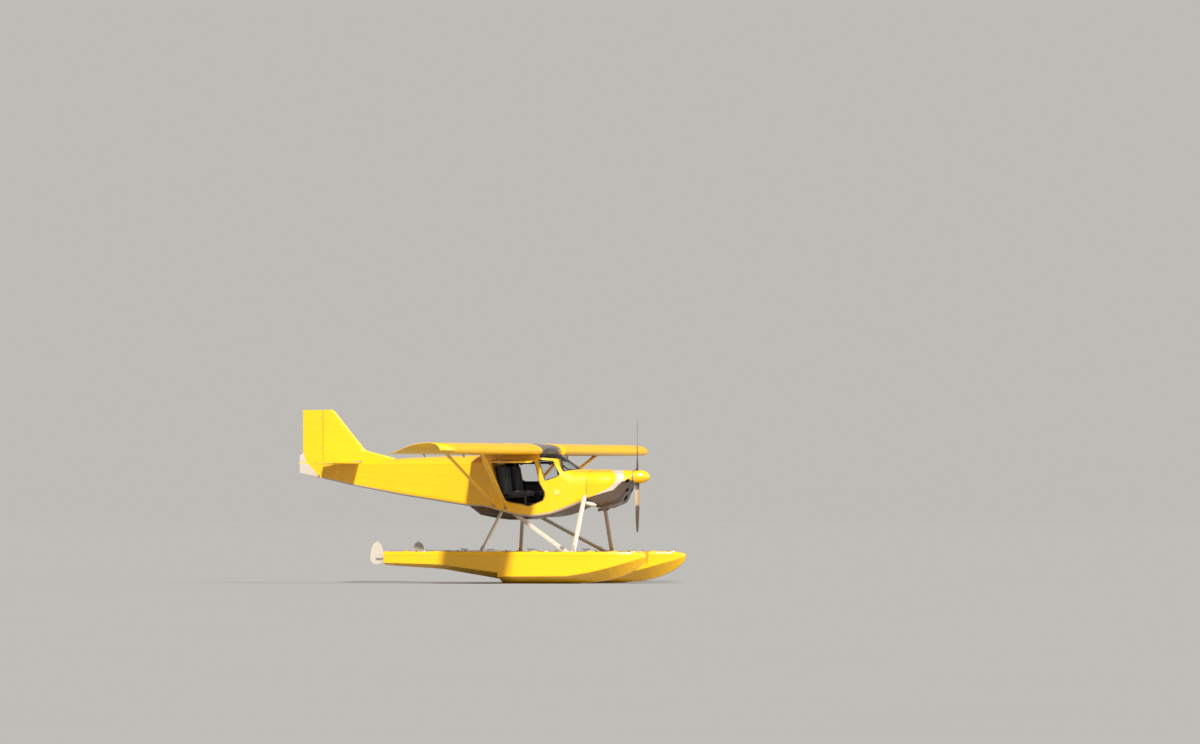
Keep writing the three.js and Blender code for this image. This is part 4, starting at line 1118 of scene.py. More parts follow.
def eased_table(table, steps):
    """Rows of a table with more rows between them, on a smooth curve."""
    out = []
    for i in range(len(table) - 1):
        a, b = table[i], table[i + 1]
        before = table[i - 1] if i else a
        after = table[i + 2] if i + 2 < len(table) else b
        for k in range(steps):
            t = k / steps
            out.append(tuple(
                0.5 * (2 * q + (r - p) * t + (2 * p - 5 * q + 4 * r - s) * t ** 2
                       + (3 * q - p - 3 * r + s) * t ** 3)
                for p, q, r, s in zip(before, a, b, after)
            ))
    out.append(table[-1])
    return out


class FLOATPLANE_OT_propeller(bpy.types.Operator):
    """Laminated propeller, its edge guards, hub and spinner details"""

    bl_idname = "floatplane.propeller"
    bl_label = "Propeller"

    SECTION = [
        (0.5, 0.0), (0.485, 0.13), (0.44, 0.27), (0.35, 0.41), (0.2, 0.5), (0.02, 0.49), (-0.16, 0.42),
        (-0.33, 0.27), (-0.45, 0.12), (-0.5, 0.04), (-0.5, -0.04), (-0.45, -0.10), (-0.33, -0.20),
        (-0.16, -0.30), (0.02, -0.36), (0.2, -0.38), (0.35, -0.34), (0.44, -0.24), (0.485, -0.12),
    ]
    GUARD = [
        (0.508, 0.0), (0.49, 0.16), (0.44, 0.31), (0.40, 0.36), (0.40, -0.36), (0.44, -0.29), (0.49, -0.15),
    ]

    def ring(self, row, sign, section):
        r, chord, thick, pitch = row
        turn = math.radians(pitch)
        out = []
        for u, v in section:
            along, across = u * chord, v * thick
            x = along * math.sin(turn) * 0.6 - across * math.cos(turn)
            y = -along * math.cos(turn) - across * math.sin(turn)
            out.append(Vector((PROP_X + x, sign * y, THRUST_Z + sign * r)))
        return out

    def execute(self, context):
        blades = Shape()
        guards = Shape()
        rows = [row for row in eased_table(BLADE, 6) if row[0] >= 0.03]
        rows = rows[:-1] + [(0.8885, 0.022, 0.004, 15)]
        for sign in (1, -1):
            blades.rings([self.ring(row, sign, self.SECTION) for row in rows])
            guards.rings([self.ring(row, sign, self.GUARD) for row in rows if 0.46 < row[0] < 0.885])
        hub = Vector((HUB_HALF, 0.0572, 0.0695))
        centre = Vector((PROP_X, 0, THRUST_Z))
        blades.box(centre - hub, centre + hub)
        piece = make_piece("propeller_blades", blades, "propeller_wood", "propeller", angle=50)
        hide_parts("propeller")
        make_piece("propeller_guards", guards, "brushed_alloy", "propeller", angle=50)
        bolts = Shape()
        for k in range(6):
            turn = math.pi / 6 + math.pi / 3 * k
            y, z = 0.040 * math.cos(turn), THRUST_Z + 0.040 * math.sin(turn)
            bolts.lathe((PROP_X + HUB_HALF, y, z), (1, 0, 0), [
                (0.010, 0), (0.010, 0.006), (0.005, 0.0075), (0, 0.008)], 6)
        make_piece("propeller_bolts", bolts, "brushed_alloy", "propeller")
        self.spinner()
        return {"FINISHED"}

    def spinner(self):
        screws = Shape()
        surface = skin("spinner")
        for degrees in (-42, 0, 42, 138, 180, 222):
            turn = math.radians(degrees)
            aim = Vector((0, -math.cos(turn), -math.sin(turn)))
            place, normal = surface.meet(Vector((2.664, 0, THRUST_Z)) - aim * 0.4, aim)
            screws.heads([(place, normal)], 0.006, 0.002)
        make_piece("spinner_screws", screws, "brushed_alloy", "propeller")
        back = Shape().lathe((2.6405, 0, THRUST_Z), (1, 0, 0), [
            (0.045, 0.0), (0.114, 0.0), (0.1165, 0.002), (0.1165, 0.012), (0.1145, 0.0135)], 48)
        make_piece("spinner_backplate", back, "brushed_alloy", "propeller")


def chord_line(surface, y, back):
    """Points and normals over a wing section: its top from the rear, its nose and its underside."""
    xs = [back + (1.21 - back) * k / 18 for k in range(19)]
    points, normals = surface.above([(x, y) for x in xs])
    heights = [WING_UNDER + lift for lift in (0.098, 0.080, 0.062, 0.045, 0.030, 0.019)]
    front, front_normals = surface.trace([(2.0, y, z) for z in heights], (-1, 0, 0))
    under, under_normals = surface.below([(x, y) for x in reversed(xs)])
    return points + front + under, normals + front_normals + under_normals


class FLOATPLANE_OT_wings(bpy.types.Operator):
    """Rib tapes, root cuffs, strut fittings, caps and drains of the wings"""

    bl_idname = "floatplane.wings"
    bl_label = "Wing details"

    def execute(self, context):
        fittings = context.scene.floatplane_fittings
        for side, sign in SIDES.items():
            surface = skin(f"wing_{side}")
            self.tapes(surface, side, sign, fittings)
            self.strut_ends(surface, side, sign)
            self.caps(surface, side, sign)
        return {"FINISHED"}

    def tapes(self, surface, side, sign, fittings):
        ribs = Shape()
        count = int((4.12 - FLAP_SPAN[0]) / fittings.rib_pitch)
        for k in range(count + 1):
            y = sign * (FLAP_SPAN[0] + 0.03 + fittings.rib_pitch * k)
            back = WING_BAY + 0.006 if abs(y) < AILERON_SPAN[1] + 0.01 else 0.10
            ribs.strip(*chord_line(surface, y, back), fittings.tape_width, 0.0014)
        for x in (0.42, 0.88):
            path = [(x, sign * (0.56 + 0.12 * k)) for k in range(30)]
            ribs.strip(*surface.below(path), fittings.tape_width, 0.0013)
        make_piece(f"wing_tapes_{side}", ribs, "wing_covering")
        edge = Shape()
        for lift in (0.018, 0.095):
            starts = [(2, sign * (0.54 + 0.18 * k), WING_UNDER + lift) for k in range(20)]
            edge.strip(*surface.trace(starts, (-1, 0, 0)), 0.012, 0.0010)
        make_piece(f"leading_edge_seams_{side}", edge, "wing_covering")
        cuff = Shape()
        points, normals = chord_line(surface, sign * (WING_ROOT + 0.0155), WING_BAY - 0.28)
        cuff.strip(points, normals, 0.030, 0.0035)
        make_piece(f"wing_root_cuff_{side}", cuff, "yellow_enamel")
        screws = Shape().heads(screw_row(points, normals, 0.10), 0.0045, 0.0055)
        make_piece(f"wing_root_screws_{side}", screws, "brushed_alloy")
        self.inspection(surface, side, sign)

    def inspection(self, surface, side, sign):
        rings = Shape()
        drains = Shape()
        for x, y in ((0.50, 0.95), (0.95, 0.95), (0.50, 2.20), (0.45, 3.15), (0.95, 3.15)):
            place, normal = surface.meet((x, sign * y, BENEATH), UP)
            rings.lathe(place, normal, [(0.052, -0.001), (0.052, 0.0018), (0.046, 0.0028), (0, 0.0028)], 28)
        for y in (0.75, 1.35, 1.95, 2.55, 3.15, 3.75):
            place, normal = surface.meet((0.36, sign * y, BENEATH), UP)
            drains.lathe(place, normal, [(0.010, -0.001), (0.010, 0.002), (0.005, 0.0035), (0, 0.002)], 14)
        make_piece(f"wing_inspection_rings_{side}", rings, "yellow_enamel")
        make_piece(f"wing_drains_{side}", drains, "brushed_alloy")

    def strut_ends(self, surface, side, sign):
        ends = Shape()
        plates = Shape()
        for name in ("front", "rear"):
            foot, head = [Vector((p[0], sign * p[1], p[2])) for p in LIFT_STRUTS[name]]
            along = (head - foot).normalized()
            top = head - along * ((head.z - WING_UNDER + 0.035) / along.z)
            clevis(ends, top, along, (1, 0, 0), 0.06, 0.017, 0.020)
            place, normal = surface.meet((top.x, top.y + sign * 0.02, BENEATH), UP)
            plate(plates, place, normal, (0, 1, 0), (0.15, 0.07))
            low, normal = skin("cabin_shell").meet((foot.x, sign * OUTSIDE, foot.z), (0, -sign, 0))
            clevis(ends, low + along * 0.045, along, (1, 0, 0), 0.05, 0.017, 0.020)
            plate(plates, low, normal, (1, 0, 0), (0.11, 0.08))
        make_piece(f"lift_strut_fittings_{side}", ends, "brushed_alloy", bevel=0.0008)
        make_piece(f"lift_strut_plates_{side}", plates, "yellow_enamel")

    def caps(self, surface, side, sign):
        cap = Shape()
        place, normal = surface.meet((0.80, sign * 0.86, OVERHEAD), DOWN)
        cap.lathe(place, normal, [
            (0.058, -0.002), (0.058, 0.003), (0.040, 0.005), (0.038, 0.008), (0.034, 0.009), (0, 0.009)], 32)
        cap.box(place + Vector((-0.026, -0.004, 0.008)), place + Vector((0.026, 0.004, 0.012)))
        make_piece(f"fuel_cap_{side}", cap, "yellow_enamel")
        vent = Shape()
        place, normal = surface.meet((0.70, sign * 1.02, BENEATH), UP)
        vent.tube([place + Vector((x, 0, z)) for x, z in ((0, 0.01), (0, -0.03), (0.02, -0.045))], 0.005, 10)
        make_piece(f"fuel_vent_{side}", vent, "brushed_alloy")


class FLOATPLANE_OT_surfaces(bpy.types.Operator):
    """Tapes, horns and hinge brackets of the flaps and ailerons"""

    bl_idname = "floatplane.surfaces"
    bl_label = "Flap and aileron details"

    def execute(self, context):
        pitch = context.scene.floatplane_fittings.rib_pitch
        for side, sign in SIDES.items():
            for name, (start, end) in (("flap", FLAP_SPAN), ("aileron", AILERON_SPAN)):
                node = f"{name}_{side}"
                surface = skin(node)
                ribs = Shape()
                y = FLAP_SPAN[0] + 0.03
                while y < end - 0.02:
                    if y > start + 0.02 and min(abs(y - start - 0.25), abs(end - 0.25 - y)) > 0.045:
                        self.rib(surface, ribs, sign * y)
                    y += pitch
                path = [(0.038, sign * (start + 0.01 + (end - start - 0.02) * k / 24)) for k in range(25)]
                ribs.strip(*surface.above(path), 0.022, 0.0012)
                make_piece(f"{node}_tapes", ribs, "wing_covering", node)
                self.horn(node, sign, (start + end) / 2)
        self.brackets()
        return {"FINISHED"}

    def rib(self, surface, shape, y):
        path = [(0.272 - 0.235 * k / 10, y) for k in range(11)]
        for trace in (surface.above, surface.below):
            shape.strip(*trace(path), 0.026, 0.0014)

    def horn(self, node, sign, y):
        shape = Shape()
        outline = [(0.275, 0.012), (0.215, 0.012), (0.262, -0.055), (0.276, -0.055)]
        shape.rings([
            [(x, sign * y + shift, WING_UNDER + z) for x, z in outline] for shift in (-0.0025, 0.0025)])
        low = WING_UNDER - 0.045
        shape.rod((0.269, sign * y - 0.009, low), (0.269, sign * y + 0.009, low), 0.004, 8)
        make_piece(f"{node}_horn", shape, "brushed_alloy", node, bevel=0.0006)

    def brackets(self):
        for side, sign in SIDES.items():
            shape = Shape()
            for start, end in (FLAP_SPAN, AILERON_SPAN):
                for y in (start + 0.25, end - 0.25):
                    place, normal = skin(f"wing_{side}").meet((0.352, sign * y, BENEATH), UP)
                    plate(shape, place, normal, (1, 0, 0), (0.05, 0.045), 0.003)
            make_piece(f"wing_hinge_plates_{side}", shape, "brushed_alloy")


class FLOATPLANE_OT_tail(bpy.types.Operator):
    """Tapes, rudder horn, trim tab, hinge plates and light of the tail"""

    bl_idname = "floatplane.tail"
    bl_label = "Tail details"

    def execute(self, context):
        self.tapes()
        self.horns()
        self.light()
        return {"FINISHED"}

    def tapes(self):
        fin = skin("fin")
        rudder = skin("rudder")
        fixed = Shape()
        moving = Shape()
        for sign in SIDES.values():
            for z in (2.14, 2.30, 2.46, 2.62, 2.76):
                front = self.fin_front(z) - 0.012
                path = [(front + (-2.735 - front) * k / 10, z) for k in range(11)]
                fixed.strip(*fin.side(path, sign), TAIL_TAPE, TAIL_RISE)
            for z in (1.86, 1.98, 2.14, 2.30, 2.46, 2.62, 2.76):
                length = 0.318 if z < 2 else 0.286
                path = [(-2.812 - length * k / 8, z) for k in range(9)]
                moving.strip(*rudder.side(path, sign), TAIL_TAPE, TAIL_RISE)
            path = [(self.fin_front(z) - 0.035, z) for z in (2.16 + 0.06 * k for k in range(11))]
            fixed.strip(*fin.side(path, sign), 0.020, TAIL_RISE)
        make_piece("fin_tapes", fixed, "wing_covering")
        make_piece("rudder_tapes", moving, "rudder_covering", "rudder")
        fixed = Shape()
        moving = Shape()
        for y in (sign * reach for sign in SIDES.values() for reach in (0.18, 0.48, 0.66, 0.98)):
            front = -2.075 - 0.10 * abs(y)
            chord = [(front - (front + 2.440) * k / 8, y) for k in range(9)]
            behind = [(-2.492 - 0.245 * k / 8, y) for k in range(9)]
            for shape, node, path in ((fixed, "tailplane", chord), (moving, "elevator", behind)):
                for trace in (skin(node).above, skin(node).below):
                    shape.strip(*trace(path), TAIL_TAPE, TAIL_RISE)
        make_piece("tailplane_tapes", fixed, "wing_covering")
        make_piece("elevator_tapes", moving, "wing_covering", "elevator")

    def fin_front(self, z):
        return hull_height([(2.132, -1.985), (2.165, -2.040), (2.755, -2.541), (2.800, -2.596)], z)

    def horns(self):
        horn = Shape()
        for sign in SIDES.values():
            outline = [(-2.800, 0.0), (-2.800, 0.020), (-2.842, 0.128), (-2.860, 0.124), (-2.832, 0.0)]
            horn.rings([[(x, sign * y, z) for x, y in outline] for z in (1.742, 1.746)])
            horn.rod((-2.847, sign * 0.118, 1.738), (-2.847, sign * 0.118, 1.752), 0.004, 8)
        make_piece("rudder_horn", horn, "brushed_alloy", "rudder", bevel=0.0006)
        tab = Shape()
        tab.rings([[(x, y, z) for x, z in ((-2.742, 1.9335), (-2.742, 1.9365), (-2.800, 1.9360),
                                                    (-2.800, 1.9345))] for y in (0.32, 0.74)])
        rod = ((-2.72, 1.939), (-2.735, 1.952), (-2.765, 1.952), (-2.775, 1.937))
        tab.tube([(x, 0.50, z) for x, z in rod], 0.002, 6)
        make_piece("trim_tab", tab, "white_enamel", "elevator", bevel=0.0004)
        hinges = Shape()
        for sign in SIDES.values():
            for y in (0.36, 0.82):
                place, normal = skin("tailplane").meet((-2.435, sign * y, OVERHEAD), DOWN)
                plate(hinges, place, normal, (1, 0, 0), (0.036, 0.03), 0.0025)
        make_piece("tail_hinge_plates", hinges, "brushed_alloy")

    def light(self):
        lamp = Shape().lathe((-3.110, 0, 2.52), (-1, 0, 0), [
            (0.012, -0.01), (0.014, 0.004), (0.013, 0.014), (0.008, 0.022), (0, 0.025)], 20)
        make_piece("tail_light", lamp, "white_lens", "rudder", angle=60)


class FLOATPLANE_OT_struts(bpy.types.Operator):
    """End fittings and bolts of the float struts, and flanges of the spreader bars"""

    bl_idname = "floatplane.struts"
    bl_label = "Float strut details"

    def execute(self, context):
        ends = Shape()
        for side, sign in SIDES.items():
            for name, (foot, head) in FLOAT_STRUTS.items():
                foot, head = [Vector((p[0], sign * p[1], p[2])) for p in (foot, head)]
                along = (head - foot).normalized()
                low = foot + along * (0.05 / along.z)
                clevis(ends, low, along, along.cross((1, 0, 0)), 0.045, 0.026, 0.0185)
                for x in (-0.034, 0.034):
                    for y in (-0.016, 0.016):
                        place = foot + Vector((x, y, FLOAT_DECK + 0.014 - foot.z))
                        ends.lathe(place, UP, [(0.008, -0.002), (0.008, 0.005), (0.004, 0.006), (0, 0.006)], 6)
        make_piece("float_strut_fittings", ends, "brushed_alloy", bevel=0.0008)
        bars = Shape()
        for x in (1.858, 0.262):
            inner = skin("float_port").meet((x, 0, SPREADER_Z), (0, 1, 0))[0].y
            for sign in SIDES.values():
                bars.lathe((x, sign * inner, SPREADER_Z), (0, -sign, 0), [
                    (0.045, -0.004), (0.045, 0.004), (0.030, 0.007), (0.028, 0.05), (0.0225, 0.055),
                    (0.0215, 0.055)], 24)
                for turn in (math.pi * k / 3 for k in range(6)):
                    bars.lathe((x + 0.037 * math.cos(turn), sign * inner, SPREADER_Z + 0.037 * math.sin(turn)),
                               (0, -sign, 0), [(0.005, 0), (0.005, 0.008), (0, 0.009)], 6)
        make_piece("spreader_flanges", bars, "brushed_alloy")
        return {"FINISHED"}


class FLOATPLANE_OT_floats(bpy.types.Operator):
    """Hatches, cleats, rub rails, deck pads and cables of the floats"""

    bl_idname = "floatplane.floats"
    bl_label = "Float details"

    def execute(self, context):
        for side, sign in SIDES.items():
            surface = skin(f"float_{side}")
            y = sign * FLOAT_Y
            self.hatches(side, y)
            self.rails(surface, side, y)
            self.cleats(side, y)
            self.deck_pads(side, y)
            self.cables(side, y, sign)
        return {"FINISHED"}

    def hatches(self, side, y):
        covers = Shape()
        plugs = Shape()
        for x in (-0.95, -0.42, 0.62, 1.25, 2.22, 2.62):
            radius = 0.075 if x > -0.5 else 0.058
            covers.lathe((x, y, FLOAT_DECK), UP, [
                (radius, -0.002), (radius, 0.004), (radius - 0.006, 0.007), (radius - 0.010, 0.0045),
                (radius * 0.4, 0.0055), (0, 0.0055)], 40)
            covers.box((x - 0.028, y - 0.006, FLOAT_DECK + 0.004), (x + 0.028, y + 0.006, FLOAT_DECK + 0.012))
        for x in (-0.80, 0.05, 0.92, 1.60, 2.42, 2.85):
            plugs.lathe((x, y + 0.06, FLOAT_DECK - 0.001), UP, [
                (0.020, -0.002), (0.020, 0.004), (0.013, 0.006), (0.012, 0.012), (0.006, 0.015),
                (0, 0.015)], 18)
        make_piece(f"float_hatches_{side}", covers, "yellow_enamel", bevel=0.0008)
        make_piece(f"pump_plugs_{side}", plugs, "black_rubber")

    def rails(self, surface, side, y):
        rail = Shape()
        screws = Shape()
        for out in (1, -1):
            xs = [-1.28 + 0.11 * k for k in range(39)]
            path = [(x, y + out * 1.2, 0.452 - max(0.0, x - 2.95) * 0.2) for x in xs]
            points, normals = surface.trace(path, (0, -out, 0))
            rail.strip(points, normals, 0.016, 0.0035)
            screws.heads(screw_row(points, normals, 0.14), 0.0042, 0.0062)
            xs = [0.84 + 0.1 * k for k in range(22)]
            path = [(x, y + out * 1.2, self.chine(x) + 0.012) for x in xs]
            rail.strip(*surface.trace(path, (0, -out, 0)), 0.014, 0.004)
        make_piece(f"rub_rails_{side}", rail, "yellow_enamel")
        make_piece(f"rub_rail_screws_{side}", screws, "brushed_alloy")
        keel = Shape()
        for start, end, count in ((2.45, 3.10, 12), (-1.24, 0.70, 20)):
            starts = [(start + (end - start) * k / count, y, -1.0) for k in range(count + 1)]
            keel.strip(*surface.trace(starts, UP), 0.024, 0.004)
        make_piece(f"keel_strips_{side}", keel, "brushed_alloy")

    def chine(self, x):
        return hull_height(CHINE, x)

    def cleats(self, side, y):
        cleats = Shape()
        for x in (-0.66, 0.50, 1.45, 2.94):
            base = Vector((x, y, FLOAT_DECK - (0.0 if x < 2.9 else 0.001)))
            plate(cleats, base, UP, (1, 0, 0), (0.10, 0.034), 0.004)
            for dx in (-0.022, 0.022):
                cleats.lathe(base + Vector((dx, 0, 0)), UP, [(0.011, 0.0), (0.007, 0.012), (0.007, 0.032)], 12)
            cleats.tube([base + Vector((-0.068, 0, 0.038)), base + Vector((-0.040, 0, 0.033)),
                         base + Vector((0.040, 0, 0.033)), base + Vector((0.068, 0, 0.038))], 0.0075, 12)
        make_piece(f"cleats_{side}", cleats, "brushed_alloy", angle=50)

    def deck_pads(self, side, y):
        pads = Shape()
        for x0, x1 in ((0.72, 1.12), (1.98, 2.12), (-0.28, 0.14)):
            outline = rounded([(x0, y - 0.13), (x1, y - 0.13), (x1, y + 0.15), (x0, y + 0.15)], 0.03)
            pads.rings([[(x, v, FLOAT_DECK + lift) for x, v in outline] for lift in (-0.001, 0.0018)])
        make_piece(f"deck_pads_{side}", pads, "grit_pad")

    def cables(self, side, y, sign):
        lines = Shape()
        guides = Shape()
        for inboard in (0.075, 0.055):
            offset = -sign * inboard
            z = FLOAT_DECK + 0.014
            path = [(-1.27, y + offset, z), (-0.6, y + offset, z - 0.001), (0.17, y + offset, z)]
            lines.tube(path + [(0.185, y + offset, z - 0.014)], 0.0018, 6)
            for x in (-1.24, -0.62, 0.17):
                guides.lathe((x, y + offset, FLOAT_DECK - 0.001), UP, [
                    (0.008, 0), (0.008, 0.003), (0.004, 0.005), (0.004, 0.012), (0.006, 0.018), (0, 0.020)], 10)
        make_piece(f"steering_cables_{side}", lines, "dark_steel")
        make_piece(f"cable_guides_{side}", guides, "brushed_alloy")


class FLOATPLANE_OT_water_rudders(bpy.types.Operator):
    """Pivot discs, ribs, lifting eyes and steering arms of the water rudders"""

    bl_idname = "floatplane.water_rudders"
    bl_label = "Water rudder details"

    def execute(self, context):
        for side, sign in SIDES.items():
            y = sign * FLOAT_Y
            pivot, height = WATER_RUDDER
            blade = Shape()
            for out in (1, -1):
                blade.lathe((pivot, y + out * 0.003, height), (0, out, 0), [
                    (0.030, -0.001), (0.030, 0.0015), (0.009, 0.0015)], 24)
                for dx in (-0.040, 0.0, 0.040):
                    length = 0.085 if dx else 0.105
                    points = [Vector((pivot + dx, y + out * 0.003, 0.530 + length * k / 4)) for k in range(5)]
                    blade.strip(points, [Vector((0, out, 0))] * 5, 0.009, 0.0020)
            body = f"water_rudder_{side}"
            make_piece(f"water_rudder_ribs_{side}", blade, "white_enamel", body)
            eye = Shape()
            ring = [Vector((pivot + 0.010 * math.cos(t), y, 0.662 + 0.010 * math.sin(t)))
                    for t in (2 * math.pi * k / 16 for k in range(16))]
            eye.tube(ring, 0.0025, 8, closed=True)
            make_piece(f"water_rudder_eye_{side}", eye, "brushed_alloy", body)
            arm = Shape()
            for out in (1, -1):
                outline = [(-1.318, 0.008), (-1.330, 0.008), (-1.358, 0.070), (-1.346, 0.070)]
                arm.rings([[(x, y + out * v, z) for x, v in outline] for z in (0.438, 0.442)])
                arm.lathe((-1.351, y + out * 0.063, 0.442), UP, [
                    (0.005, -0.008), (0.005, 0.003), (0, 0.004)], 8)
                arm.lathe((pivot, y + out * 0.010, height), (0, out, 0), [
                    (0.010, -0.001), (0.010, 0.003), (0, 0.0035)], 6)
            body = f"water_rudder_post_{side}"
            make_piece(f"steering_arm_{side}", arm, "brushed_alloy", body, bevel=0.0006)
        return {"FINISHED"}


class FLOATPLANE_OT_doors(bpy.types.Operator):
    """Seals, beads, handles, rivets and linings of the doors"""

    bl_idname = "floatplane.doors"
    bl_label = "Door details"

    def execute(self, context):
        for side, sign in SIDES.items():
            turn = door_turn(side)
            body = f"door_{side}"
            beads = Shape()
            path = spaced(rounded(inset(DOOR_WINDOW, -0.006), 0.03), 0.03, True)
            for y, out in ((DOOR_OUTER, sign), (DOOR_INNER, -sign)):
                points = [Vector((x, sign * y, z)) for x, z in path]
                beads.strip(points, [Vector((0, out, 0))] * len(points), 0.014, 0.003, closed=True)
            make_piece(f"door_window_beads_{side}", beads.turned(turn), "black_rubber", body)
            edge = Shape()
            path = spaced(rounded(inset(DOORWAY, 0.012), 0.02), 0.03, True)
            low = [i for i, (_, z) in enumerate(path) if z < FLOOR_CLEAR]
            path = path[low[-1] + 1:] + path[:low[0]]
            points = [Vector((x, sign * DOOR_INNER, z)) for x, z in path]
            edge.strip(points, [Vector((0, -sign, 0))] * len(points), 0.010, 0.0035)
            make_piece(f"door_edge_seal_{side}", edge.turned(turn), "black_rubber", body)
            self.handle(side, sign, turn, body)
            self.lining(side, sign, turn, body)
            self.frame_seal(side, sign)
        return {"FINISHED"}

    def handle(self, side, sign, turn, body):
        handle = Shape()
        for y, out in ((DOOR_OUTER, sign), (DOOR_INNER, -sign)):
            base = Vector((0.70, sign * y, 1.47))
            handle.lathe(base, (0, out, 0), [
                (0.017, -0.001), (0.017, 0.003), (0.009, 0.006), (0.009, 0.016)], 18)
            handle.tube([base + Vector((0, out * 0.015, 0)), base + Vector((0.03, out * 0.018, 0.001)),
                         base + Vector((0.105, out * 0.016, -0.002))], 0.0065, 12, 0.0045)
        make_piece(f"door_handle_{side}", handle.turned(turn), "brushed_alloy", body, angle=60)
        screws = Shape()
        path = spaced(inset(DOORWAY, 0.032), 0.03, True)
        points = [Vector((x, sign * DOOR_OUTER, z)) for x, z in path if z < 1.60]
        screws.heads(screw_row(points, [Vector((0, sign, 0))] * len(points), 0.09), 0.0035, 0.0012)
        make_piece(f"door_rivets_{side}", screws.turned(turn), "yellow_enamel", body)

    def lining(self, side, sign, turn, body):
        pad = Shape()
        outline = rounded([(0.62, 1.36), (1.12, 1.34), (1.19, 1.44), (1.13, 1.58), (0.56, 1.58)], 0.04)
        pad.rings([
            [(x, sign * (DOOR_INNER - lift), z) for x, z in inset(outline, margin)]
            for lift, margin in ((-0.001, 0.0), (0.003, 0.0), (0.006, 0.004), (0.007, 0.012))
        ])
        make_piece(f"door_lining_{side}", pad.turned(turn), "seat_cloth", body)

    def frame_seal(self, side, sign):
        surface = skin("cabin_shell")
        seal = Shape()
        path = spaced(rounded(inset(DOORWAY, -0.008), 0.02), 0.03, True)
        path = [(x, z) for x, z in path if z < 1.93]
        seal.strip(*surface.side(path, sign), 0.010, 0.0012)
        make_piece(f"doorway_seal_{side}", seal, "black_rubber")


